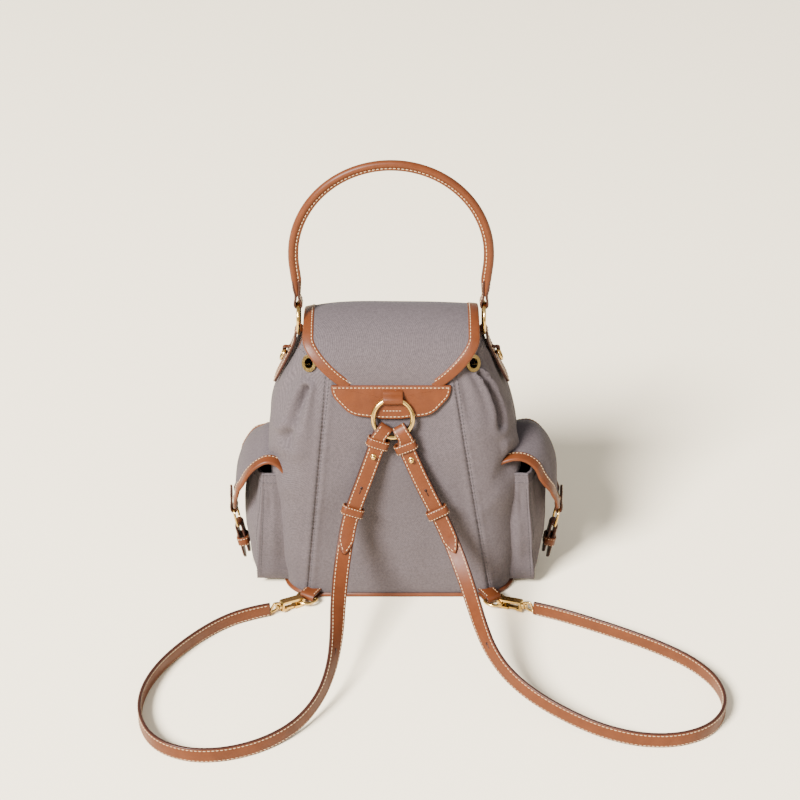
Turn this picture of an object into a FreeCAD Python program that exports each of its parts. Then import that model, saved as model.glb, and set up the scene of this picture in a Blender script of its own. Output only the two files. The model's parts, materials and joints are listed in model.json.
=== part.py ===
import FreeCAD, Part

import math
import os

import Sketcher
from FreeCAD import Placement, Rotation, Vector

# A small flap-top backpack of twill canvas trimmed with stitched leather.
# Millimetres, +Z up. The origin is on the floor under the carry handle's centre plane.
# The wearer's side faces -Y, so the front of the bag faces +Y and X runs along the handle.

DIMENSIONS = {
    # soft body: rounded-rectangle sections named by their place, from foot to mouth
    "foot_height": 3.0, "foot_width": 110.0, "foot_depth": 61.0, "foot_round": 32.0,
    "knee_height": 45.0, "knee_width": 114.5, "knee_depth": 63.5, "knee_round": 37.0,
    "belly_height": 100.0, "belly_width": 117.0, "belly_depth": 65.0, "belly_round": 42.0,
    "waist_height": 150.0, "waist_width": 117.5, "waist_depth": 64.0, "waist_round": 44.0,
    "chest_height": 190.0, "chest_width": 111.0, "chest_depth": 59.0, "chest_round": 44.0,
    "shoulder_height": 216.0, "shoulder_width": 101.0, "shoulder_depth": 53.0, "shoulder_round": 42.0,
    "neck_height": 238.0, "neck_width": 89.0, "neck_depth": 46.0, "neck_round": 38.0,
    "mouth_height": 256.0, "mouth_width": 81.0, "mouth_depth": 39.0, "mouth_round": 34.0,
    "lean": 7.0,
    "canvas": 2.0, "lining": 1.0, "leather": 2.4,
    "base_edge": 1.6, "base_thickness": 3.0, "board_thickness": 1.6,
    # flap over the mouth
    "flap_radius": 50.0, "flap_centre_height": 229.6, "flap_sheet": 2.0, "flap_half_width": 78.0,
    "flap_front_slope": 14.0, "flap_front_end": 140.0, "flap_binding": 8.0, "binding_thickness": 3.0,
    # leather patch on the wearer's side and its ring
    "patch_half_width": 54.0, "patch_drop": 30.0, "patch_corner": 24.0, "patch_slope": 16.0,
    "ring_radius": 17.9, "ring_wire": 2.2,
    # carry handle
    "handle_radius": 88.5, "handle_spring": 335.0, "handle_rise": 272.0,
    "handle_width": 9.0, "handle_thickness": 6.6,
    "handle_ring_radius": 14.5, "handle_ring_wire": 1.6, "handle_ring_place": 84.5,
    # side pockets, measured outward from the pocket axis
    "pocket_axis": 3.5, "pocket_low": 8.0, "pocket_half": 48.0,
    "pocket_flap_radius": 41.0, "pocket_flap_centre": 112.0, "pocket_flap_end": 76.0,
    # closures
    "buckle_width": 22.0, "buckle_height": 22.0, "buckle_bar": 2.4, "closure_width": 12.0,
    "closure_leather": 2.0,
    # shoulder straps and hardware
    "strap_width": 15.0, "strap_thickness": 3.0, "tongue_thickness": 2.6,
    "dee_radius": 9.5, "dee_wire": 1.5, "dee_height": 5.65, "eye_radius": 8.6, "eye_wire": 1.3,
    "eyelet_radius": 8.0, "eyelet_hole": 4.8, "eyelet_barrel": 5.5,
}

document = FreeCAD.newDocument("backpack")
sheet = document.addObject("Spreadsheet::Sheet", "dims")
for row, (alias, number) in enumerate(DIMENSIONS.items(), start=1):
    sheet.set(f"A{row}", alias)
    sheet.set(f"B{row}", str(number))
    sheet.setAlias(f"B{row}", alias)
document.recompute()

nodes = []


class Size:
    """A length that carries both its value and the sheet expression that makes it."""

    def __init__(self, value, text):
        self.value = value
        self.text = text

    def join(self, other, sign, value):
        return Size(value, f"({self.text} {sign} {size(other).text})")

    def __add__(self, other):
        return self.join(other, "+", self.value + size(other).value)

    def __sub__(self, other):
        return self.join(other, "-", self.value - size(other).value)

    def __mul__(self, other):
        return self.join(other, "*", self.value * size(other).value)

    def __truediv__(self, other):
        return self.join(other, "/", self.value / size(other).value)

    def __neg__(self):
        return Size(-self.value, f"(0 - {self.text})")

    def __rsub__(self, other):
        return size(other) - self

    __radd__ = __add__
    __rmul__ = __mul__


def size(value):
    """Any number or Size as a Size."""
    if isinstance(value, Size):
        return value
    return Size(float(value), f"({float(value):.6f})")


def dim(alias):
    """One driving dimension of the sheet."""
    return Size(DIMENSIONS[alias], f"dims.{alias}")


def bind(thing, name, value):
    """Tie one property of a document object to an expression."""
    thing.setExpression(name, size(value).text)


def place(thing, at, turn=None):
    """Put a document object at a point given in Sizes, with an optional fixed turn."""
    thing.Placement = Placement(Vector(*(size(v).value for v in at)), turn or Rotation())
    for axis, value in zip("xyz", at):
        bind(thing, f"Placement.Base.{axis}", value)
    return thing


def keep(thing, name):
    """Mark a document object as one finished piece of the bag."""
    thing.Label = name
    nodes.append(thing)
    return thing


def primitive(kind, name, at, turn=None, **sizes):
    """A Part primitive. With no place given, its Placement is left free for the caller to set."""
    thing = document.addObject(kind, name)
    for prop, value in sizes.items():
        bind(thing, prop, value)
    return thing if at is None else place(thing, at, turn)


def box(name, length, width, height, at=None, turn=None):
    return primitive("Part::Box", name, at, turn, Length=length, Width=width, Height=height)


def cylinder(name, radius, height, at=None, turn=None):
    return primitive("Part::Cylinder", name, at, turn, Radius=radius, Height=height)


def torus(name, radius, wire, at=None, turn=None):
    return primitive("Part::Torus", name, at, turn, Radius1=radius, Radius2=wire)


def cut(name, base, tool):
    thing = document.addObject("Part::Cut", name)
    thing.Base = base
    thing.Tool = tool
    return thing


def common(name, base, tool):
    thing = document.addObject("Part::Common", name)
    thing.Base = base
    thing.Tool = tool
    return thing


def fuse(name, shapes):
    thing = document.addObject("Part::MultiFuse", name)
    thing.Shapes = shapes
    return thing


def plane_of(body, role):
    """One origin plane of a body."""
    return next(f for f in body.Origin.OriginFeatures if f.Role == role)


def sketch_on(body, name, role, height=0.0):
    """A sketch on an origin plane of its own body, raised by a Size."""
    sketch = body.newObject("Sketcher::SketchObject", name)
    sketch.AttachmentSupport = [(plane_of(body, role), "")]
    sketch.MapMode = "FlatFace"
    sketch.AttachmentOffset = Placement(Vector(0, 0, size(height).value), Rotation())
    bind(sketch, "AttachmentOffset.Base.z", height)
    return sketch


def pin_point(sketch, index, end, across, up):
    """Hold one end of a sketch line or arc at a point measured from the origin."""
    for kind, value in (("DistanceX", across), ("DistanceY", up)):
        number = sketch.addConstraint(Sketcher.Constraint(kind, -1, 1, index, end, size(value).value))
        sketch.setExpression(f"Constraints[{number}]", size(value).text)


def outline(sketch, moves):
    """A closed outline. Each move is (x, y) for a line to that point, or (x, y, radius) for an
    arc to it that turns left, or right where the radius is negative."""
    points = [(size(move[0]), size(move[1])) for move in moves]
    for number, move in enumerate(moves):
        start = points[number - 1]
        finish = points[number]
        a = Vector(start[0].value, start[1].value, 0)
        b = Vector(finish[0].value, finish[1].value, 0)
        if len(move) == 2:
            index = sketch.addGeometry(Part.LineSegment(a, b), False)
            pin_point(sketch, index, 2, *finish)
            pin_point(sketch, index, 1, *start)
            continue
        radius = size(move[2])
        chord = b - a
        left = 1 if radius.value > 0 else -1
        reach = abs(radius.value)
        sagitta = reach - math.sqrt(max(reach * reach - chord.Length ** 2 / 4, 0.0))
        side = Vector(chord.y, -chord.x, 0).normalize() * left
        curve = Part.Arc(a, (a + b) * 0.5 + side * sagitta, b)
        index = sketch.addGeometry(curve, False)
        first, last = (1, 2) if left == 1 else (2, 1)
        pin_point(sketch, index, last, *finish)
        pin_point(sketch, index, first, *start)
        number = sketch.addConstraint(Sketcher.Constraint("Radius", index, reach))
        sketch.setExpression(f"Constraints[{number}]", (radius * left).text)


def rounded_moves(half_width, half_depth, radius, centre=0.0):
    """The outline of a rounded rectangle about (centre, 0)."""
    w = size(half_width)
    d = size(half_depth)
    r = size(radius)
    c = size(centre)
    return [
        (c + w - r, -d), (c + w, -d + r, r), (c + w, d - r), (c + w - r, d, r),
        (c - w + r, d), (c - w, d - r, r), (c - w, -d + r), (c - w + r, -d, r),
    ]


def padded(name, role, moves, thickness, height=0.0):
    """A body made by padding one outline."""
    body = document.addObject("PartDesign::Body", name)
    sketch = sketch_on(body, f"{name}_outline", role, height)
    outline(sketch, moves)
    pad = body.newObject("PartDesign::Pad", f"{name}_pad")
    pad.Profile = sketch
    bind(pad, "Length", thickness)
    return body


def lofted(name, sections):
    """A body lofted through rounded rectangles given as (height, w, d, r, centre)."""
    body = document.addObject("PartDesign::Body", name)
    sketches = []
    for number, (height, w, d, r, centre) in enumerate(sections):
        sketch = sketch_on(body, f"{name}_section_{number}", "XY_Plane", height)
        outline(sketch, rounded_moves(w, d, r, centre))
        sketches.append(sketch)
    loft = body.newObject("PartDesign::AdditiveLoft", f"{name}_loft")
    loft.Profile = sketches[0]
    loft.Sections = sketches[1:]
    loft.Ruled = False
    return body


# ---------------------------------------------------------------- soft body

LEVELS = ("foot", "knee", "belly", "waist", "chest", "shoulder", "neck", "mouth")
LEAN_SHARE = {"foot": 1.0, "knee": 0.85, "belly": 0.55, "waist": 0.25}


def body_sections(inset, top=0.0):
    """The bag's sections, each side moved inward, the last one raised past the mouth."""
    sections = []
    for level in LEVELS:
        height = dim(f"{level}_height")
        if level == "mouth":
            height = height + top
        sections.append((
            height,
            dim(f"{level}_width") - inset,
            dim(f"{level}_depth") - inset,
            dim(f"{level}_round") - inset,
            dim("lean") * LEAN_SHARE.get(level, 0.0),
        ))
    return sections


envelope = lofted("envelope", body_sections(0.0))
inner_envelope = lofted("inner_envelope", body_sections(dim("canvas"), 0.01))
lining_envelope = lofted("lining_envelope", body_sections(dim("canvas") + dim("lining"), 0.01))
shell = cut("shell", envelope, inner_envelope)

SEAM_REACH = 90.0
SEAM_TOP = 262.0


def seam_wedge(name, front):
    """The block between the two slanted seams of the back panel, or of the front panel."""
    wedge = document.addObject("Part::Wedge", name)
    near, far = (-SEAM_REACH, 0.0) if front else (0.0, SEAM_REACH)
    for prop, value in (
        ("Xmin", dim("lean") - 88.0), ("Xmax", dim("lean") + 88.0),
        ("X2min", size(-55.0)), ("X2max", size(53.0)),
        ("Ymin", size(0.0)), ("Ymax", size(SEAM_TOP)),
        ("Zmin", size(near)), ("Zmax", size(far)), ("Z2min", size(near)), ("Z2max", size(far)),
    ):
        bind(wedge, prop, value)
    return place(wedge, (0, 0, 0), Rotation(Vector(1, 0, 0), 90))


keep(common("back_panel_solid", shell, seam_wedge("back_wedge", False)), "back_panel")
keep(common("front_panel_solid", shell, seam_wedge("front_wedge", True)), "front_panel")
both_wedges = fuse("both_wedges", [seam_wedge("back_wedge_2", False), seam_wedge("front_wedge_2", True)])
gussets = cut("gussets", shell, both_wedges)

EYELET_TURN = 50.0
EYELET_TILT = 22.6
EYELET_HEIGHT = 244.0
EYELET_OUT = (73.6, 35.5)


def eyelet_frame(side, face):
    """Where an eyelet sits: side is -1 left or 1 right, face -1 the wearer's side or 1 the front."""
    heading = math.degrees(math.atan2(face * math.sin(math.radians(EYELET_TURN)),
                                      side * math.cos(math.radians(EYELET_TURN))))
    turn = Rotation(Vector(0, 0, 1), heading) * Rotation(Vector(0, 1, 0), 90.0 - EYELET_TILT)
    return (side * EYELET_OUT[0], face * EYELET_OUT[1], EYELET_HEIGHT), turn


holes = []
for side, side_name in ((-1, "left"), (1, "right")):
    for face, face_name in ((-1, "back"), (1, "front")):
        at, turn = eyelet_frame(side, face)
        drill = cylinder(f"eyelet_drill_{side_name}_{face_name}", dim("eyelet_barrel"), 16.0)
        drill.Placement = Placement(Vector(*at) - turn.multVec(Vector(0, 0, 8.0)), turn)
        holes.append(drill)
        outer = cylinder(f"eyelet_outer_{side_name}_{face_name}", dim("eyelet_radius"), 0.9, (0, 0, 0.9))
        barrel = cylinder(f"eyelet_barrel_{side_name}_{face_name}", dim("eyelet_barrel"), 6.6,
                          (0, 0, -5.4))
        inner = cylinder(f"eyelet_inner_{side_name}_{face_name}", dim("eyelet_radius"), 0.8,
                         (0, 0, -5.9))
        bore = cylinder(f"eyelet_bore_{side_name}_{face_name}", dim("eyelet_hole"), 12.0, (0, 0, -8))
        solid = fuse(f"eyelet_solid_{side_name}_{face_name}", [outer, barrel, inner])
        ring = cut(f"eyelet_{side_name}_{face_name}", solid, bore)
        ring.Placement = Placement(Vector(*at), turn)
        keep(ring, f"eyelet_{face_name}_{side_name}")

eyelet_holes = fuse("eyelet_holes", holes)
drilled = cut("drilled_gussets", gussets, eyelet_holes)
for side_name, corner in (("left", -200.0), ("right", 0.0)):
    half = box(f"{side_name}_half", 200.0, 200.0, 300.0, (corner, -100.0, 0.0))
    keep(common(f"{side_name}_gusset_solid", drilled, half), f"{side_name}_gusset")

lining_shell = cut("lining_shell", inner_envelope, lining_envelope)
above_board = box("above_board", 300.0, 200.0, 300.0, (-150.0, -100.0,
                  dim("base_thickness") + dim("board_thickness") + 0.4))
lining_walls = common("lining_walls", lining_shell, above_board)
keep(cut("lining_solid", lining_walls, eyelet_holes), "lining")

base = padded("base_panel_solid", "XY_Plane",
              rounded_moves(dim("foot_width") + dim("base_edge"), dim("foot_depth") + dim("base_edge"),
                            dim("foot_round") + dim("base_edge"), dim("lean")), dim("base_thickness"))
keep(base, "base_panel")
board = padded("base_board_solid", "XY_Plane",
               rounded_moves(dim("foot_width") - 4.0, dim("foot_depth") - 4.0,
                             dim("foot_round") - 4.0, dim("lean")),
               dim("board_thickness"), dim("base_thickness") + 0.1)
keep(board, "base_board")

# ---------------------------------------------------------------- patch and carry ring

SLOPE = Rotation(Vector(1, 0, 0), 90.0 - DIMENSIONS["patch_slope"])
PATCH_TOP = Vector(0, -50.9, 228.9)


def on_slope(across, down, out):
    """A point measured on the sloping back: along X, down the slope, and outward from it."""
    return PATCH_TOP + SLOPE.multVec(Vector(across, -down, out))


def seat_on_slope(thing, across=0.0, down=0.0, out=0.0, turn=None):
    thing.Placement = Placement(on_slope(across, down, out), SLOPE * (turn or Rotation()))
    return thing


half = dim("patch_half_width")
drop = dim("patch_drop")
bend = dim("patch_corner")
patch = padded("back_patch_solid", "XY_Plane", [
    (half, 0.0), (-half, 0.0), (-half, bend - drop), (bend - half, -drop, bend),
    (half - bend, -drop), (half, bend - drop, bend),
], dim("leather"))
keep(seat_on_slope(patch), "back_patch")

RING_DOWN = 28.8
RING_OUT = DIMENSIONS["leather"] + DIMENSIONS["ring_wire"] + 0.4
RING_ACROSS = 1.6
ring = torus("back_ring_solid", dim("ring_radius"), dim("ring_wire"))
keep(seat_on_slope(ring, RING_ACROSS, RING_DOWN, RING_OUT), "back_ring")
ring_room = torus("ring_room", dim("ring_radius"), dim("ring_wire") + 0.35)
seat_on_slope(ring_room, RING_ACROSS, RING_DOWN, RING_OUT)

LOOP_WIDTH = 18.0
LOOP_DROP = 14.0
loop_block = padded("patch_loop_block", "XZ_Plane", [
    (LOOP_WIDTH / 2, 0.0), (LOOP_WIDTH / 2, 6.4), (LOOP_WIDTH / 2 - 3.0, 9.4, 3.0),
    (3.0 - LOOP_WIDTH / 2, 9.4), (-LOOP_WIDTH / 2, 6.4, 3.0), (-LOOP_WIDTH / 2, 0.0),
], LOOP_DROP)
seat_on_slope(loop_block, RING_ACROSS, 4.0, DIMENSIONS["leather"])
keep(cut("patch_loop_solid", loop_block, ring_room), "patch_loop")

# ---------------------------------------------------------------- carry handle

RISE = dim("handle_rise")
SPRING = dim("handle_spring")
ARCH = dim("handle_radius")
handle_turn = Rotation(Vector(0, 1, 0), 90)


def handle_ring_room(name, side, wire):
    return torus(name, dim("handle_ring_radius"), wire,
                 (dim("handle_ring_place") * side, 0.0, RISE), handle_turn)


handle_body = document.addObject("PartDesign::Body", "handle_body")
spine = sketch_on(handle_body, "handle_spine", "XZ_Plane")
FOOT_IN = 4.0
foot_level = RISE + dim("handle_ring_radius") + 5.0
left_foot = (-(ARCH - FOOT_IN), foot_level)
right_foot = (ARCH - FOOT_IN, foot_level)


def draw(sketch, start, finish, radius=None):
    """One edge of an open path: a line, or a quarter turn that bends to the right."""
    a = Vector(size(start[0]).value, size(start[1]).value, 0)
    b = Vector(size(finish[0]).value, size(finish[1]).value, 0)
    if radius is None:
        index = sketch.addGeometry(Part.LineSegment(a, b), False)
        pin_point(sketch, index, 1, *start)
        pin_point(sketch, index, 2, *finish)
        return
    chord = b - a
    reach = size(radius).value
    sagitta = reach - math.sqrt(reach * reach - chord.Length ** 2 / 4)
    bulge = Vector(-chord.y, chord.x, 0).normalize() * sagitta
    index = sketch.addGeometry(Part.Arc(a, (a + b) * 0.5 + bulge, b), False)
    pin_point(sketch, index, 2, *start)
    pin_point(sketch, index, 1, *finish)
    number = sketch.addConstraint(Sketcher.Constraint("Radius", index, reach))
    sketch.setExpression(f"Constraints[{number}]", size(radius).text)


draw(spine, left_foot, (-ARCH, SPRING))
draw(spine, (-ARCH, SPRING), (0.0, SPRING + ARCH), ARCH)
draw(spine, (0.0, SPRING + ARCH), (ARCH, SPRING), ARCH)
draw(spine, (ARCH, SPRING), right_foot)
section = sketch_on(handle_body, "handle_section", "XY_Plane", foot_level)
outline(section, rounded_moves(dim("handle_thickness") / 2, dim("handle_width") / 2,
                               dim("handle_thickness") / 2 - 0.3, -(ARCH - FOOT_IN)))
pipe = handle_body.newObject("PartDesign::AdditivePipe", "handle_pipe")
pipe.Profile = section
pipe.Spine = (spine, ["Edge1", "Edge2", "Edge3", "Edge4"])
pipe.Transition = "Round corner"
EYE_RADIUS = 5.4
end_pieces = []
for side, side_name in ((-1, "left"), (1, "right")):
    end_pieces.append(cylinder(f"handle_eye_{side_name}", EYE_RADIUS, 9.0,
                         (dim("handle_ring_place") * side, 4.5, RISE + dim("handle_ring_radius")),
                         Rotation(Vector(1, 0, 0), 90)))
    end_pieces.append(box(f"handle_neck_{side_name}", 6.4, 8.6, 6.0,
                    (dim("handle_ring_place") * side - 3.2, -4.3, foot_level - 4.0)))
whole_handle = fuse("whole_handle", [handle_body] + end_pieces)
rooms = fuse("handle_rooms", [handle_ring_room(f"handle_room_{name}", side, dim("handle_ring_wire") + 0.4)
                              for side, name in ((-1, "left"), (1, "right"))])
keep(cut("handle_solid", whole_handle, rooms), "handle")
for side, side_name in ((-1, "left"), (1, "right")):
    keep(handle_ring_room(f"{side_name}_handle_ring_solid", side, dim("handle_ring_wire")),
         f"{side_name}_handle_ring")

# side tabs: a leather strip on each shoulder whose upper end folds round the handle ring
TAB_WIDTH = 15.0
TAB_FOOT = (108.5, 205.0)
TAB_HEAD = (84.5, 257.5)
TAB_LEATHER = 2.6
LOOP_OUT = 6.4
LOOP_ACROSS = 5.0
LOOP_TALL = 7.4
LOOP_ROOM = 2.2


def side_tab(side, side_name):
    """One side tab, its small loop and the small ring that hangs in the loop."""
    run = Vector(TAB_HEAD[0] - TAB_FOOT[0], 0, TAB_HEAD[1] - TAB_FOOT[1])
    lean = math.degrees(math.atan2(-run.x, run.z))
    turn = Rotation(Vector(0, 1, 0), -lean * side)
    plate = padded(f"{side_name}_tab_plate", "YZ_Plane", [
        (TAB_WIDTH / 2, run.Length), (-TAB_WIDTH / 2, run.Length), (-TAB_WIDTH / 2, 0.0),
        (0.0, -TAB_WIDTH / 2, TAB_WIDTH / 2), (TAB_WIDTH / 2, 0.0, TAB_WIDTH / 2),
    ], TAB_LEATHER, -TAB_LEATHER / 2)
    plate.Placement = Placement(Vector(TAB_FOOT[0] * side, 0, TAB_FOOT[1]), turn)
    fold = cylinder(f"{side_name}_tab_fold", 4.4, 9.0,
                    (TAB_HEAD[0] * side, 4.5, TAB_HEAD[1]), Rotation(Vector(1, 0, 0), 90))
    slot_room = handle_ring_room(f"{side_name}_tab_room", side, dim("handle_ring_wire") + 0.4)
    whole = cut(f"{side_name}_tab_trimmed", fuse(f"{side_name}_tab_whole", [plate, fold]), envelope)
    keep(cut(f"{side_name}_side_tab_solid", whole, slot_room), f"{side_name}_side_tab")
    outward = turn.multVec(Vector(side, 0, 0))
    along = turn.multVec(Vector(0, 0, 1))
    loop_at = Vector(TAB_FOOT[0] * side, 0, TAB_FOOT[1]) + along * 36.0 + outward * (TAB_LEATHER / 2)
    block = box(f"{side_name}_loop_block", LOOP_OUT, LOOP_ACROSS, LOOP_TALL)
    corner = Vector(-LOOP_OUT if side < 0 else 0.0, -LOOP_ACROSS / 2, -LOOP_TALL / 2)
    block.Placement = Placement(loop_at + turn.multVec(corner), turn)
    wire_top = loop_at + outward * 3.4
    hang = wire_top - along * 5.8
    small = torus(f"{side_name}_tab_ring_solid", 5.8, 1.1)
    small.Placement = Placement(hang, turn * Rotation(Vector(0, 1, 0), 90))
    room = cylinder(f"{side_name}_loop_room", LOOP_ROOM, 8.0)
    room.Placement = Placement(wire_top + Vector(0, 4, 0), turn * Rotation(Vector(1, 0, 0), 90))
    keep(cut(f"{side_name}_tab_loop_solid", block, room), f"{side_name}_tab_loop")
    keep(small, f"{side_name}_tab_ring")
    print(f"{side_name} tab ring centre", [round(v, 2) for v in hang],
          "wire top", [round(v, 2) for v in wire_top])


for side, side_name in ((-1, "left"), (1, "right")):
    side_tab(side, side_name)

# ---------------------------------------------------------------- flap over the mouth

FLAP_SLOPE = math.radians(DIMENSIONS["flap_front_slope"])
FLAP_TOP = 300.0


def flap_point(reach, height=None):
    """A point of the front sheet, where its straight part starts or at a height lower down."""
    start = reach * math.cos(FLAP_SLOPE)
    lift = reach * math.sin(FLAP_SLOPE)
    if height is None:
        return start, dim("flap_centre_height") + lift
    fall = dim("flap_centre_height") + lift - height
    return start + fall * math.tan(FLAP_SLOPE), height


def flap_band(name, inner, outer):
    """The flap's bent sheet between two offsets of its inner radius, across its full width."""
    near = dim("flap_radius") + inner
    far = dim("flap_radius") + outer
    centre = dim("flap_centre_height")
    end = dim("flap_front_end")
    return padded(name, "YZ_Plane", [
        (-far, centre), flap_point(far) + (-far,), flap_point(far, end), flap_point(near, end),
        flap_point(near), (-near, centre, near),
    ], dim("flap_half_width") * 2, -dim("flap_half_width"))


def flap_region(name, inset):
    """Everything above the flap's outline, its edges moved inward by the binding's width."""
    side = dim("flap_half_width") - inset
    low = dim("flap_centre_height")
    end = dim("flap_front_end") + inset
    tuck = 27.0
    back = padded(f"{name}_back", "XZ_Plane", [
        (side - tuck, low), (side, low + 32.0, 36.0), (side, FLAP_TOP), (-side, FLAP_TOP),
        (-side, low + 32.0), (tuck - side, low, 36.0),
    ], 100.0)
    front = padded(f"{name}_front", "XZ_Plane", [
        (side - 32.0, end), (side - 8.0, end + 24.0, 25.0), (side, FLAP_TOP), (-side, FLAP_TOP),
        (8.0 - side, end + 24.0), (32.0 - side, end, 25.0),
    ], 100.0, -100.0)
    return fuse(name, [back, front])



sheet_region = flap_region("sheet_region", dim("flap_binding"))
flap_sheet = flap_band("flap_sheet_band", 0.0, dim("flap_sheet"))
keep(common("top_flap_solid", flap_sheet, sheet_region), "top_flap")
binding_band = flap_band("flap_binding_band", -0.5, dim("binding_thickness") - 0.5)
flap_edge = common("flap_edge", binding_band, flap_region("flap_outline", 0.0))
flap_rim = cut("flap_rim", flap_edge, flap_region("sheet_region_again", dim("flap_binding")))

# ---------------------------------------------------------------- closures


LOWER_BAR = 13.0 + DIMENSIONS["buckle_height"] - DIMENSIONS["buckle_bar"]
ACROSS = Rotation(Vector(1, 0, 0), 90)
BUCKLE_OUT = 1.7
BUCKLE_CORNER = 5.5
BAR_ROOM = 0.72 * DIMENSIONS["buckle_bar"] + 0.05


def seat(thing, at, turn):
    thing.Placement = Placement(Vector(*at), turn)
    return thing


def closure_tip(name, at, turn):
    """The leather tip of a flap, folded round the buckle's upper bar."""
    width = dim("closure_width")
    plate = box(f"{name}_tip_plate", 2.5, width + 2.0, 26.0, (0.35, -(width + 2.0) / 2, -13.0))
    fold = cylinder(f"{name}_tip_fold", 3.2, width, (BUCKLE_OUT, width / 2, -13.0), ACROSS)
    room = cylinder(f"{name}_tip_room", BAR_ROOM, 40.0, (BUCKLE_OUT, 20.0, -13.0), ACROSS)
    return seat(cut(f"{name}_tip", fuse(f"{name}_tip_whole", [plate, fold]), room), at, turn)


def closure(name, at, turn):
    """The oval buckle, folded strap and keeper that hang from a flap's tip. In the closure's
    own frame X points away from the bag and Z up from the flap's edge."""
    bar = dim("buckle_bar")
    wide = dim("buckle_width") / 2
    tall = dim("buckle_height") / 2
    frame = document.addObject("PartDesign::Body", f"{name}_buckle_body")
    drawing = sketch_on(frame, f"{name}_buckle_outline", "YZ_Plane", -bar / 2)
    outline(drawing, rounded_moves(wide, tall, BUCKLE_CORNER))
    outline(drawing, rounded_moves(wide - bar, tall - bar, BUCKLE_CORNER - bar))
    ring = frame.newObject("PartDesign::Pad", f"{name}_buckle_pad")
    ring.Profile = drawing
    bind(ring, "Length", bar)
    middle = -13.0 + DIMENSIONS["buckle_bar"] / 2 - DIMENSIONS["buckle_height"] / 2
    keep(seat(frame, Vector(*at) + turn.multVec(Vector(BUCKLE_OUT, 0, middle)), turn), f"{name}_buckle")
    low = -LOWER_BAR
    skin = dim("closure_leather")
    reach = size(BAR_ROOM)
    strap = padded(f"{name}_strap_body", "XZ_Plane", [
        (BUCKLE_OUT + reach, low), (BUCKLE_OUT, low + reach, reach), (BUCKLE_OUT - reach, low, reach),
        (BUCKLE_OUT - reach, low - 29.5), (BUCKLE_OUT - reach - skin, low - 29.5),
        (BUCKLE_OUT - reach - skin, low), (BUCKLE_OUT, low + reach + skin, -(reach + skin)),
        (BUCKLE_OUT + reach + skin, low, -(reach + skin)), (BUCKLE_OUT + reach + skin, low - 35.5),
        (BUCKLE_OUT + reach, low - 35.5),
    ], dim("closure_width"), -dim("closure_width") / 2)
    keep(seat(strap, at, turn), f"{name}_strap")
    around = reach + skin + 0.1
    keeper = document.addObject("PartDesign::Body", f"{name}_keeper_body")
    drawing = sketch_on(keeper, f"{name}_keeper_outline", "XY_Plane", low - 20.0)
    half_width = dim("closure_width") / 2 + 0.1
    for grow in (1.7, 0.0):
        outline(drawing, [
            (BUCKLE_OUT + around + grow, -half_width - grow), (BUCKLE_OUT + around + grow, half_width + grow),
            (BUCKLE_OUT - around - grow, half_width + grow), (BUCKLE_OUT - around - grow, -half_width - grow),
        ])
    loop = keeper.newObject("PartDesign::Pad", f"{name}_keeper_pad")
    loop.Profile = drawing
    loop.Length = 8.0
    keep(seat(keeper, at, turn), f"{name}_keeper")


front_edge = flap_point(DIMENSIONS["flap_radius"] + DIMENSIONS["flap_sheet"], DIMENSIONS["flap_front_end"])
FRONT_CLOSURE = (0.0, size(front_edge[0]).value - 0.1, DIMENSIONS["flap_front_end"])
FRONT_TURN = Rotation(Vector(0, 0, 1), 90)
keep(fuse("flap_binding_solid", [flap_rim, closure_tip("flap", FRONT_CLOSURE, FRONT_TURN)]), "flap_binding")
closure("flap", FRONT_CLOSURE, FRONT_TURN)

# ---------------------------------------------------------------- side pockets

POCKET_INNER = 80.0
POCKET_TALL = 120.0
POCKET_LEVELS = ((0.0, 138.0, -6.0), (32.0, 150.0, -1.5), (66.0, 153.0, 0.0), (POCKET_TALL, 144.5, -3.5))
FLAP_ROOTS = {-1: 119.9, 1: 116.6}
FLAP_ARC_AT = 117.5
CLOSURE_SHIFT = 10.0
CLOSURE_LEAN = 6.0


def pocket_sections(side, inset, low, top):
    """Rounded sections that reach outward from the pocket axis, kept inside by the inset."""
    sections = []
    for number, (rise, reach, spare) in enumerate(POCKET_LEVELS):
        height = dim("pocket_low") + rise
        height = height + (low if number == 0 else 0.0) + (top if rise == POCKET_TALL else 0.0)
        half = (size(reach) - inset - POCKET_INNER) / 2
        centre = dim("pocket_axis") + (half + POCKET_INNER) * side
        depth = dim("pocket_half") + spare - inset
        sections.append((height, half, depth, size(28.0) - inset, centre))
    return sections


def pocket_arc(side, reach):
    """The height at which the flap's arc of this radius meets its root line."""
    return DIMENSIONS["pocket_flap_centre"] + math.sqrt(reach ** 2 - (FLAP_ROOTS[side] - FLAP_ARC_AT) ** 2)


def pocket_band(name, side, inner, outer):
    """The bent sheet of a pocket flap between two radii."""
    axis = dim("pocket_axis")
    centre = dim("pocket_flap_centre")
    near = DIMENSIONS["pocket_flap_radius"] + inner
    far = DIMENSIONS["pocket_flap_radius"] + outer

    def at(reach):
        return axis + side * (FLAP_ARC_AT + reach)

    root = axis + side * FLAP_ROOTS[side]
    end = dim("pocket_flap_end")
    return padded(name, "XZ_Plane", [
        (root, pocket_arc(side, far)), (at(far), centre, -side * far), (at(far), end), (at(near), end),
        (at(near), centre), (root, pocket_arc(side, near), side * near),
    ], dim("pocket_half") * 2 + 20.0, -dim("pocket_half") - 10.0)


def pocket_region(name, side, inset):
    """The outline of a pocket flap seen from the side."""
    half = dim("pocket_half") - inset
    end = dim("pocket_flap_end") + inset
    start = dim("pocket_axis") + side * 110.0
    if side < 0:
        start = start - 60.0
    return padded(name, "YZ_Plane", [
        (half, end + 50.0, 66.0), (half, 170.0), (-half, 170.0), (-half, end + 50.0),
        (30.0 - half, end, 66.0), (half - 30.0, end),
    ], 60.0, start)


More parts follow.
